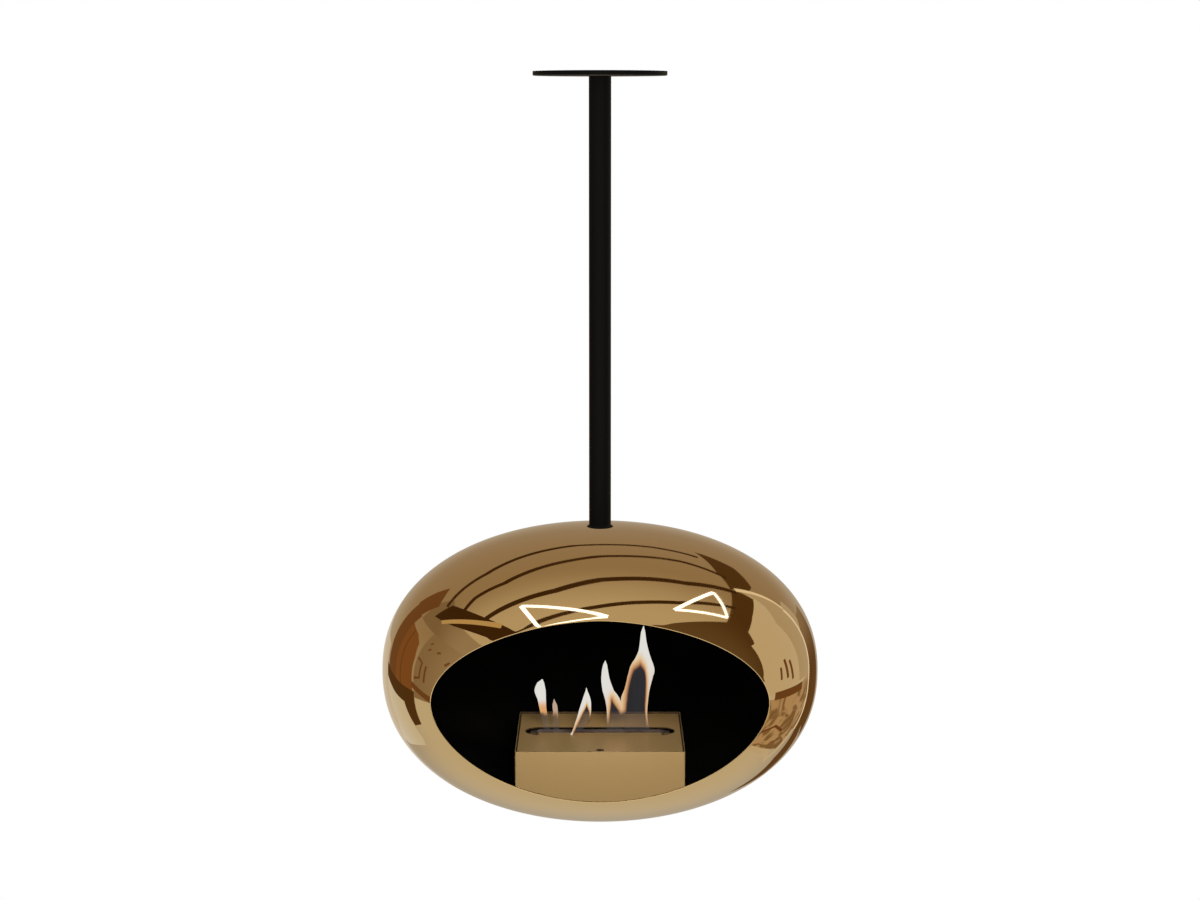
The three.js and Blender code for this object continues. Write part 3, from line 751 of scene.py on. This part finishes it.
def makeWool():
    low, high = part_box("ceramic_wool")
    inset = Vector((wool["shrink"],) * 3)
    piece = block("wool_pad", low + inset, high - inset, wool["cornerRadius"], wool["cornerSteps"])
    softenEdges(piece, wool["cornerRadius"] / 2)
    applied(piece, "REMESH", mode="VOXEL", voxel_size=wool["voxel"])
    for kind in ("lumps", "tufts"):
        texture = bpy.data.textures.new(kind, "CLOUDS")
        texture.noise_scale, depth = wool[kind]
        applied(piece, "DISPLACE", texture=texture, strength=depth, mid_level=1, texture_coords="LOCAL")
    pick(piece)
    bpy.ops.object.shade_smooth()
    return dress(piece, finishes["mineral_wool"], "dome", "ceramic_wool")


makeWool()

# flames

flameShape = {
    "middle": 0.027,  # over the tank's mouth
    "foot": 0.0004,  # above the lid
    "depth": 0.42,  # of the width
    "deepest": 0.007,
    "around": 56,
    "rings": 120,
    "coreSteps": 40,
    "haze": 0.07,  # how much the dark cores cover
    "sunk": 0.0002,  # below the damper, where they end when it is closed
    "left": 0.001,  # of their height then
    "sides": 5,  # mm either side of the core's middle, over which its two sides meet
    "warmReach": 0.25,  # past the core, where the warm tint is full
    "warmTint": (0.76, 0.38, 0.145),
    "hazeTint": (0.19, 0.183, 0.205),
    "wisps": (160, 160, 22),
    "tones": [  # from the core's edge outwards
        (0, (0.05, 0.022, 0.018)), (0.12, (0.22, 0.085, 0.04)), (0.3, (0.62, 0.33, 0.14)),
        (0.55, (0.80, 0.60, 0.37)), (1, (0.79, 0.77, 0.71)),
    ],
}
# rows are height over the lid, left edge and right edge, and the core is the dark part inside, all in mm
# spread is how far left, right and above the core the colours run
# solid gives the heights between which the left and the right side turn from clear to solid
# warm is the height where the warm tint fades, where it has gone, and its strength
# lean is how far forward the flame leans at a height
flames = [
    {
        "rows": [
            (71.5, -81.5, -80), (66, -88, -78), (55, -91.5, -76), (42, -87.3, -75.6), (25, -83.8, -74.4),
            (0, -79, -69),
        ],
        "core": [(12, -79, -79), (0, -80, -76)],
        "spread": (4, 4, 5),
        "solid": [(20, 29), (18, 29)],
        "strength": 1,
        "warm": (30, 45, 1),
        "lean": [(25, 0), (0, 4)],
    },
    {
        "rows": [(43, -64.6, -64), (34, -66.5, -60.1), (25, -65.8, -59), (0, -66, -57)],
        "core": [(20, -62.5, -62.5), (0, -64, -60)],
        "spread": (4, 4, 6),
        "solid": [(16, 28), (14, 28)],
        "strength": 0.42,
        "warm": (34, 60, 0.6),
        "lean": [(25, 0), (0, 4)],
    },
    {
        "rows": [
            (59.3, -19.3, -18.7), (43, -24.2, -13.4), (30, -28.3, -12.5), (20, -31.5, -13.6),
            (9, -36.2, -20), (4, -38.8, -30), (0, -41.4, -37.4),
        ],
        "core": [(33, -18.6, -18.6), (24, -23, -15.6), (15, -28.5, -15.4), (6, -34.5, -16), (0, -37.6, -20)],
        "spread": (1.4, 4, 9),
        "solid": [(-5, 3), (12, 26)],
        "strength": 1,
        "warm": (10, 40, 0.12),
        "lean": [(25, 0), (0, 33)],
    },
    {
        "rows": [
            (98.4, 7, 7.6), (92, 4.4, 9.9), (84, 2.6, 11.2), (70, 1.8, 14), (55, 3.5, 19.5), (47, 5.8, 25.5),
            (40, 7.6, 29), (28, 9.4, 30.6), (12, 9.6, 31), (0, 9, 31),
        ],
        "core": [(41, 16.4, 16.4), (25, 14.6, 25.5), (0, 13.5, 27)],
        "spread": (6, 9, 18),
        "solid": [(5, 34), (19, 33)],
        "strength": 1,
        "warm": (30, 60, 0.4),
        "lean": [(25, 0), (0, 4)],
    },
    {
        "rows": [
            (147.9, 60.3, 61.2), (138.6, 57.2, 63.1), (125.4, 55.7, 64.8), (112.2, 53.8, 67.8),
            (101.7, 49.3, 71), (91, 42.9, 74.8), (83, 40.5, 76.1), (75.2, 38.4, 73.9), (58, 34.5, 69.7),
            (44.4, 29.6, 67.6), (25, 30.4, 66.1), (12, 32, 67), (0, 33.4, 69.6),
        ],
        "core": [
            (91, 56.4, 56.4), (84, 48.1, 61.6), (71.2, 43.6, 63.5), (52.6, 39.7, 63.4), (27.4, 37.2, 62.4),
            (0, 35.5, 64),
        ],
        "spread": (13, 6, 22),
        "solid": [(20, 33), (0, 36)],
        "strength": 1,
        "warm": (40, 112, 0.3),
        "lean": [(25, 0), (0, 4)],
    },
]


def edges(rows, height):  # a smooth curve through the rows, from the top one down
    if height >= rows[0][0]:
        return rows[0][1:]
    if height <= rows[-1][0]:
        return rows[-1][1:]
    i = next(i for i in range(len(rows) - 1) if height >= rows[i + 1][0])
    upper, lower = rows[i], rows[i + 1]
    before, after = rows[max(i - 1, 0)], rows[min(i + 2, len(rows) - 1)]
    t = (upper[0] - height) / (upper[0] - lower[0])
    bend = lambda a, b, c, d: 2 * a - 5 * b + 4 * c - d + t * (3 * b - a - 3 * c + d)
    curve = lambda a, b, c, d: b + t * ((c - a) + t * bend(a, b, c, d)) / 2
    return [curve(*values) for values in zip(before[1:], upper[1:], lower[1:], after[1:])]


def ease(value, low, high):
    t = max(0, min(1, (value - low) / (high - low)))
    return t * t * (3 - 2 * t)


def coreOutline(core):  # points along both edges of the dark core, closer together towards its top
    steps = flameShape["coreSteps"]
    levels = [core[0][0] * (1 - (step / steps) ** 2) for step in range(steps + 1)]
    return [(edge, level) for level in levels for edge in edges(core, level)]


def fromCore(core, outline, spread, x, height):  # 0 on the core's edge, 1 where the flame is pale
    left, right = edges(core, height)
    side = ease(x - (left + right) / 2, -flameShape["sides"], flameShape["sides"])
    wide = spread[0] + (spread[1] - spread[0]) * side
    away = min(math.hypot((x - edge) / wide, (height - level) / spread[2]) for edge, level in outline)
    return -away if height < core[0][0] and left < x < right else away


def flameFinish():
    material, tree, shader = newMaterial(
        "flame", Base_Color=(0, 0, 0, 1), Roughness=1, Specular_IOR_Level=0, Emission_Strength=1
    )
    link = tree.links.new
    reach = add(tree, "ShaderNodeAttribute", -1300, 200, attribute_name="reach").outputs["Fac"]
    solid = add(tree, "ShaderNodeAttribute", -1300, -100, attribute_name="solid").outputs["Fac"]
    warm = add(tree, "ShaderNodeAttribute", -1300, 450, attribute_name="warm").outputs["Fac"]
    edge = add(tree, "ShaderNodeMapRange", -1050, -50, interpolation_type="SMOOTHSTEP")
    edge.inputs["From Min"].default_value = -0.1
    edge.inputs["From Max"].default_value = 0.16
    link(reach, edge.inputs["Value"])
    place = add(tree, "ShaderNodeTexCoord", -1500, -350)
    drawn = add(tree, "ShaderNodeMapping", -1300, -350)
    drawn.inputs["Scale"].default_value = flameShape["wisps"]
    wisps = add(tree, "ShaderNodeTexNoise", -1050, -350)
    wisps.inputs["Scale"].default_value = 1
    link(place.outputs["Object"], drawn.inputs["Vector"])
    link(drawn.outputs["Vector"], wisps.inputs["Vector"])
    least, most = 0.6 * flameShape["haze"], 1.4 * flameShape["haze"]
    haze = ranged(tree, wisps.outputs["Fac"], -800, -350, least, most)
    body = worked(tree, "MULTIPLY", -800, -100, edge.outputs["Result"], solid)
    cover = worked(tree, "ADD", -550, -200, body, haze)
    share = worked(tree, "DIVIDE", -400, 50, body, cover)
    tone = ramped(tree, reach, -850, 250, *flameShape["tones"])
    tint = mixed(tree, warm, -500, 300, tone, flameShape["warmTint"])
    veil = mixed(tree, share, -200, 250, flameShape["hazeTint"], tint)
    link(veil, shader.inputs["Emission Color"])
    link(cover, shader.inputs["Alpha"])
    return material


def makeFlame(name, flame, material):
    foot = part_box("top_plate")[1].z + flameShape["foot"]
    clearSelection()
    bpy.ops.mesh.primitive_uv_sphere_add(
        segments=flameShape["around"], ring_count=flameShape["rings"], radius=1
    )
    piece = named(name)
    marks = {kind: piece.data.attributes.new(kind, "FLOAT", "POINT") for kind in ("reach", "solid", "warm")}
    top = flame["rows"][0][0]
    outline = coreOutline(flame["core"])
    fadeFrom, fadeTo, warmth = flame["warm"]
    for i, vertex in enumerate(piece.data.vertices):
        height = top * (1 - math.acos(max(-1, min(1, vertex.co.z))) / math.pi)
        turn = math.atan2(vertex.co.y, vertex.co.x)
        left, right = edges(flame["rows"], height)
        ring = 0 if abs(vertex.co.z) > 1 - 1e-6 else 1  # the two poles close the ends
        half = (right - left) / 2 * ring
        x = (left + right) / 2 + half * math.cos(turn)
        depth = min(flameShape["depth"] * half / 1000, flameShape["deepest"])
        y = flameShape["middle"] - edges(flame["lean"], height)[0] / 1000 + depth * math.sin(turn)
        vertex.co = (x / 1000, y, foot + height / 1000)
        reach = fromCore(flame["core"], outline, flame["spread"], x, height)
        side = x > sum(edges(flame["core"], height)) / 2
        tint = (1 - ease(height, fadeFrom, fadeTo)) * warmth
        marks["reach"].data[i].value = reach
        marks["solid"].data[i].value = ease(height, *flame["solid"][side]) * flame["strength"]
        marks["warm"].data[i].value = tint * ease(reach, 0, flameShape["warmReach"])
    pick(piece)
    bpy.ops.object.shade_smooth()
    dress(piece, material, "burner_lid")
    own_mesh(piece)


flameMaterial = flameFinish()
for number, flame in enumerate(flames, 1):
    makeFlame(f"flame_{number}", flame, flameMaterial)

# light, floor and reflectors

studio = {
    "floorDrop": 2.2,  # below the ceiling plate
    "skyLight": 0.5,  # on what scatters light
    "skyShine": 0.82,  # in what mirrors it
    "skyTint": (1, 0.985, 0.96),
    "keyPlace": (0.35, -2.6, 0.45),
    "keyTarget": (0, 0, -0.88),
    "keySize": 1.0,
    "keyPower": 60,
    "glowPlace": (0.02, 0.07, -0.80),
    "glowPower": 0.065,
    "glowSize": 0.03,
    "glowTint": (1, 0.82, 0.62),
    "over": 0.1,  # from the ceiling plate up to the overhead reflectors
    "side": 2.0,  # from the pole to the upright reflectors
    "rear": 2.6,
    "front": 3.6,
    "step": 0.002,  # each reflector lies this much nearer than the one before it
}
tones = {
    "overhead": (0.62, 0.55, 0.43),
    "overheadFar": (0.375, 0.29, 0.195),
    "corner": (0.40, 0.33, 0.25),
    "cornerFar": (0.26, 0.19, 0.12),
    "air": (0.375, 0.29, 0.195),
    "airLow": (0.47, 0.40, 0.31),
    "ground": (0.68, 0.66, 0.59),
    "groundFar": (0.48, 0.44, 0.37),
    "seam": (0.06, 0.028, 0.008),
    "flag": (0.15, 0.095, 0.042),
    "flagFar": (0.10, 0.052, 0.016),
    "umber": (0.19, 0.088, 0.033),
    "copper": (0.25, 0.11, 0.037),
    "earth": (0.55, 0.41, 0.27),
    "earthDark": (0.26, 0.165, 0.085),
    "shade": (0.30, 0.21, 0.12),
    "shadeLow": (0.14, 0.07, 0.022),
    "brass": (0.62, 0.46, 0.25),
    "dim": (0.39, 0.32, 0.24),
    "dimFar": (0.30, 0.225, 0.145),
    "soft": (0.54, 0.47, 0.36),
    "pale": (0.68, 0.62, 0.52),
    "slab": (0.73, 0.73, 0.68),
    "bright": (0.98, 0.92, 0.82),
    "tube": (3.0, 3.3, 4.4),
    "rimGlow": (1.2, 1.15, 1.02),
}
fades = {  # into which other tone, along which axis, from where to where, and whether noise mixes them
    "overhead": ("overheadFar", "Y", -0.25, 0.5, False),
    "corner": ("cornerFar", "Y", -0.3, 0.6, False),
    "dim": ("dimFar", "Y", -0.7, 0.5, False),
    "flag": ("flagFar", "Y", -0.5, 0.2, False),
    "ground": ("groundFar", "Y", 0.3, 1.9, False),
    "air": ("airLow", "Z", 0.1, -1.0, False),
    "shade": ("shadeLow", "Z", -0.5, -1.35, False),
    "earth": ("earthDark", "Y", 0.44, 0.6, True),
}
seams = [  # the width of a dark line overhead and its points
    (0.070, [(-1.05, 0.54), (-0.55, 0.66), (-0.1, 1.0), (0.2, 1.04), (0.45, 1.01)]),
    (0.054, [(-0.925, 0.2), (-0.7, 0.3), (-0.45, 0.325), (0, 0.6), (0.35, 0.7), (0.65, 0.71)]),
    (0.058, [(-0.75, -0.075), (-0.2, 0.05), (0, 0.16), (0.4, 0.275), (0.775, 0.525)]),
    (0.042, [(-0.6, -0.42), (-0.35, -0.3), (0, -0.18), (0.4, -0.025), (0.85, 0.25)]),
]
tubes = [
    (0.03, [(0.40, -0.125), (0.585, 0.29), (0.84, 0.04), (0.40, -0.125)]),
    (0.03, [(0.04, -0.295), (-0.41, -0.07), (-0.375, -0.42), (0.04, -0.295)]),
]
reflectors = [  # the plane it lies on, its tone and its corners
    ("overhead", "overhead", [(-3, -3), (3, -3), (3, 2.7), (-3, 2.7)]),
    ("overhead", "corner", [
        (-2.1, -1.5), (-1.35, -1.5), (-1.2, 0.1), (-1.0, 0.6), (-1.2, 0.85), (-2.1, 1.5)
    ]),
    ("overhead", "pale", [(0.9, 0.72), (2.0, 2.1), (2.4, 0.1), (1.45, 0.13), (1.25, 0.45), (1.1, 0.8)]),
    ("overhead", "soft", [(0.9, 0.73), (2.0, 2.1), (2.2, 1.25), (1.4, 1.0)]),
    ("overhead", "umber", [(-2.0, 2.45), (-1.0, 1.02), (-1.12, 0.93), (-1.3, 0.85), (-2.0, 1.6)]),
    ("overhead", "flag", [(0.48, 1.42), (0.8, 1.45), (1.03, 1.1), (1.0, 0.9), (0.775, 0.6), (0.62, 0.86)]),
    ("overhead", "flag", [
        (0.775, 0.6), (1.1, 0.8), (1.25, 0.45), (1.45, 0.13), (3, 0.05), (3, -2), (0.2, -2),
        (0.35, -0.4), (0.97, 0),
    ]),
    ("overhead", "seam", [
        (-1.5, 0.78), (-1.05, 0.53), (-0.63, -0.4), (-0.4, -1.2), (-1.0, -1.2), (-1.0, -0.35),
        (-1.3, 0.2), (-1.42, 0.5),
    ]),
    ("right", "pale", [(-1.2, 0.15), (1.15, 0.15), (1.15, -1.2), (-1.2, -1.1)]),
    ("right", "soft", [(1.15, 0.15), (1.95, 0.15), (1.95, -1.3), (1.15, -1.2)]),
    ("right", "soft", [(1.9, 0.15), (2.7, 0.15), (2.7, -2.2), (1.9, -2.2)]),
    ("right", "shade", [(2.05, -0.6), (2.7, -0.4), (2.7, -2.2), (2.05, -2.2)]),
    ("right", "earth", [(-1.2, -1.2), (2.02, -1.28), (2.02, -2.2), (-1.2, -2.2)]),
    ("right", "flag", [(-1.2, 0.15), (0, 0.15), (-0.05, -0.45), (-0.1, -0.85), (-1.2, -0.85)]),
    ("right", "umber", [(0.2, -1.13), (1.35, -1.26), (1.35, -1.36), (0.2, -1.25)]),
    ("left", "dim", [(-1.2, 0.15), (0.6, 0.15), (0.6, -1.32), (-1.2, -1.3)]),
    ("left", "air", [(0.55, 0.15), (2.7, 0.15), (2.7, -1.3), (0.55, -1.3)]),
    ("left", "copper", [(0.72, -0.3), (0.95, -0.18), (1.5, -0.12), (1.5, -1.3), (0.6, -1.3), (0.62, -0.6)]),
    ("left", "umber", [(1.48, 0.15), (2.3, 0.15), (2.3, -1.3), (1.48, -1.3)]),
    ("left", "slab", [(1.0, -1.4), (2.7, -1.5), (2.7, -2.2), (1.0, -2.2)]),
    ("left", "ground", [(-0.2, -1.25), (1.0, -1.3), (1.0, -2.2), (-0.2, -2.2)]),
    ("left", "flagFar", [
        (0.55, -1.2), (2.7, -1.3), (2.7, -1.5), (1.05, -1.44), (0.95, -1.85), (0.6, -1.75)
    ]),
    ("rear", "air", [(-2, 0.15), (2, 0.15), (2, -2.2), (-2, -2.2)]),
    ("rear", "pale", [(-2, -1.0), (-0.6, -1.1), (-0.6, -2.2), (-2, -2.2)]),
    ("rear", "shade", [(1.3, -0.7), (2, -0.4), (2, -2.2), (1.1, -2.0)]),
    ("below", "ground", [(-4, -5), (4, -5), (4, 4), (-4, 4)]),
    ("below", "slab", [(-2.0, 1.0), (-1.68, 1.0), (-1.35, 2.2), (-1.35, 2.6), (-2, 2.6)]),
    ("below", "shadeLow", [(0.6, 1.75), (1.2, 1.55), (1.75, 1.9), (2, 2.05), (2, 2.6), (0.75, 2.6)]),
    ("below", "earth", [(1.5, 1.2), (2.0, 1.75), (2.0, 0.05), (1.8, 0.05), (1.62, 0.75)]),
    ("below", "rimGlow", [(-1.9, -3.6), (1.9, -3.6), (1.2, -1.0), (-1.2, -1.0)]),
    ("front", "rimGlow", [(-1.9, -1.25), (1.9, -1.25), (1.9, -2.2), (-1.9, -2.2)]),
]
lines = [  # tone, width, plane and points of the other narrow cards
    ("brass", 0.08, "overhead", [(-1.38, 0.45), (-0.68, -0.25)]),
    ("bright", 0.05, "overhead", [(0.78, 0.6), (2.0, 2.12)]),
    ("bright", 0.13, "right", [(1.99, 0), (1.97, -1.0), (1.9, -1.7), (1.95, -2.2)]),
    ("pale", 0.16, "below", [(2.0, 1.85), (1.6, 1.4), (1.25, 1.05), (1.45, 0.85), (1.75, 0.1)]),
    ("umber", 0.06, "right", [(0.38, -0.72), (0.36, -0.95)]),
    ("umber", 0.08, "right", [(0.55, -0.62), (0.58, -0.98)]),
    ("umber", 0.08, "right", [(0.72, -0.7), (0.78, -1.06)]),
    ("umber", 0.06, "right", [(-0.15, -1.9), (0.5, -1.75), (0.95, -1.95)]),
    ("flagFar", 0.03, "left", [(1.12, -0.2), (1.12, -1.3)]),
    ("umber", 0.04, "left", [(0.33, -0.1), (0.38, -0.16)]),
    ("umber", 0.04, "left", [(0.28, -0.24), (0.34, -0.3)]),
    ("umber", 0.05, "left", [(0.02, -0.2), (0.1, -0.24)]),
    ("umber", 0.05, "left", [(-0.28, -0.3), (-0.2, -0.42)]),
    ("umber", 0.05, "left", [(0.5, -0.55), (0.34, -0.6), (0.34, -0.9), (0.5, -0.95)]),
    ("umber", 0.05, "left", [(0.2, -0.62), (0.2, -0.95)]),
    ("umber", 0.10, "left", [(0.6, -1.08), (0.1, -1.2), (-0.3, -1.22)]),
]


def splitWorld():
    world = bpy.data.worlds.new("studioAir")
    bpy.context.scene.world = world
    world.use_nodes = True
    tree = world.node_tree
    back = tree.nodes["Background"]
    back.inputs["Color"].default_value = (1, 1, 1, 1)
    light = add(tree, "ShaderNodeBackground", -200, -200)
    light.inputs["Color"].default_value = (*studio["skyTint"], 1)
    ray = add(tree, "ShaderNodeLightPath", -700, 200)
    level = add(tree, "ShaderNodeMapRange", -450, -250)
    level.inputs["To Min"].default_value = studio["skyLight"]
    level.inputs["To Max"].default_value = studio["skyShine"]
    mix = add(tree, "ShaderNodeMixShader", 100, 0)
    tree.links.new(ray.outputs["Is Glossy Ray"], level.inputs["Value"])
    tree.links.new(level.outputs["Result"], light.inputs["Strength"])
    tree.links.new(ray.outputs["Is Camera Ray"], mix.inputs["Fac"])
    tree.links.new(light.outputs["Background"], mix.inputs[1])
    tree.links.new(back.outputs["Background"], mix.inputs[2])
    tree.links.new(mix.outputs["Shader"], tree.nodes["World Output"].inputs["Surface"])


def makeFloor():
    clearSelection()
    bpy.ops.mesh.primitive_plane_add(size=40, location=(0, 0, -studio["floorDrop"]))
    floor = named("studioFloor")
    settle(floor)
    material, tree, shader = newMaterial("paleFloor", Base_Color=(0.86, 0.85, 0.83, 1), Roughness=0.8)
    white = add(tree, "ShaderNodeEmission", 0, 200)
    shine = add(tree, "ShaderNodeEmission", 0, 400)
    shine.inputs["Color"].default_value = (*tones["ground"], 1)
    ray = add(tree, "ShaderNodeLightPath", -300, 400)
    mirrored = add(tree, "ShaderNodeMixShader", 300, 300)
    seen = add(tree, "ShaderNodeMixShader", 500, 100)
    link = tree.links.new
    link(ray.outputs["Is Glossy Ray"], mirrored.inputs["Fac"])
    link(shader.outputs["BSDF"], mirrored.inputs[1])
    link(shine.outputs["Emission"], mirrored.inputs[2])
    link(ray.outputs["Is Camera Ray"], seen.inputs["Fac"])
    link(mirrored.outputs["Shader"], seen.inputs[1])
    link(white.outputs["Emission"], seen.inputs[2])
    link(seen.outputs["Shader"], tree.nodes["Material Output"].inputs["Surface"])
    floor.data.materials.append(material)


def makeKey():
    bpy.ops.object.light_add(type="AREA", location=studio["keyPlace"])
    key = bpy.context.object
    key.name = "keyLight"
    aim = Vector(studio["keyTarget"]) - Vector(studio["keyPlace"])
    key.rotation_euler = aim.to_track_quat("-Z", "Y").to_euler()
    key.data.shape = "DISK"
    key.data.size = studio["keySize"]
    key.data.energy = studio["keyPower"]
    key.visible_glossy = False


def makeFlameGlow():  # what the flames throw on the lid
    bpy.ops.object.light_add(type="POINT", location=studio["glowPlace"])
    light = bpy.context.object
    light.name = "flameGlow"
    light.data.color = studio["glowTint"]
    light.data.energy = studio["glowPower"]
    light.data.shadow_soft_size = studio["glowSize"]


def glow(tone):
    material = bpy.data.materials.get("tone_" + tone)
    if material:
        return material
    material = bpy.data.materials.new("tone_" + tone)
    material.use_nodes = True
    tree = material.node_tree
    tree.nodes.remove(tree.nodes["Principled BSDF"])
    light = add(tree, "ShaderNodeEmission", 0, 0)
    light.inputs["Color"].default_value = (*tones[tone], 1)
    tree.links.new(light.outputs["Emission"], tree.nodes["Material Output"].inputs["Surface"])
    if tone in fades:
        other, axis, start, end, noisy = fades[tone]
        place = add(tree, "ShaderNodeTexCoord", -1200, 0)
        apart = add(tree, "ShaderNodeSeparateXYZ", -1000, 100)
        along = add(tree, "ShaderNodeMapRange", -600, 100, interpolation_type="SMOOTHSTEP")
        along.inputs["From Min"].default_value = start
        along.inputs["From Max"].default_value = end
        tree.links.new(place.outputs["Object"], apart.inputs["Vector"])
        tree.links.new(apart.outputs[axis], along.inputs["Value"])
        if noisy:
            clouds = grain(tree, -800, -150, 2.6)
            clouds.inputs["Distortion"].default_value = 1.2
            tree.links.new(clouds.outputs["Fac"], along.inputs["Value"])
        color = mixed(tree, along.outputs["Result"], -300, 0, tones[tone], tones[other])
        tree.links.new(color, light.inputs["Color"])
    return material


def onPlane(plane, first, second, nearer):
    if plane == "overhead":
        return first, second, studio["over"] - nearer
    if plane == "below":
        return first, second, nearer - studio["floorDrop"]
    if plane == "rear":
        return first, studio["rear"] - nearer, second
    if plane == "front":
        return first, nearer - studio["front"], second
    side = studio["side"] - nearer
    return (side if plane == "right" else -side), first, second


def card(name, tone, corners):  # a flat reflector that nothing but gloss sees
    clearSelection()
    bpy.ops.mesh.primitive_circle_add(vertices=len(corners), fill_type="NGON")
    piece = named(name)
    for vertex, corner in zip(piece.data.vertices, corners):
        vertex.co = corner
    piece.data.materials.append(glow(tone))
    for ray in ("camera", "diffuse", "transmission", "volume_scatter", "shadow"):
        setattr(piece, "visible_" + ray, False)


def ribbon(points, width):  # the outline of a narrow strip along the points
    points = [Vector(point) for point in points]
    sides = []
    for i, point in enumerate(points):
        along = (points[min(i + 1, len(points) - 1)] - points[max(i - 1, 0)]).normalized()
        sides.append((point, Vector((-along.y, along.x)) * width / 2))
    return [point + side for point, side in sides] + [point - side for point, side in reversed(sides)]


def makeReflectors():
    stack = [("card", plane, tone, corners) for plane, tone, corners in reflectors]
    stack += [("line", plane, tone, ribbon(points, width)) for tone, width, plane, points in lines]
    stack += [("seam", "overhead", "seam", ribbon(points, width)) for width, points in seams]
    for width, points in tubes:
        stack += [("tube", "overhead", "tube", ribbon(ends, width)) for ends in zip(points, points[1:])]
    for number, (kind, plane, tone, corners) in enumerate(stack):
        nearer = number * studio["step"]
        card(f"{kind}_{number}", tone, [onPlane(plane, *corner, nearer) for corner in corners])


splitWorld()
makeFloor()
makeKey()
makeFlameGlow()
makeReflectors()
print("studio ready")
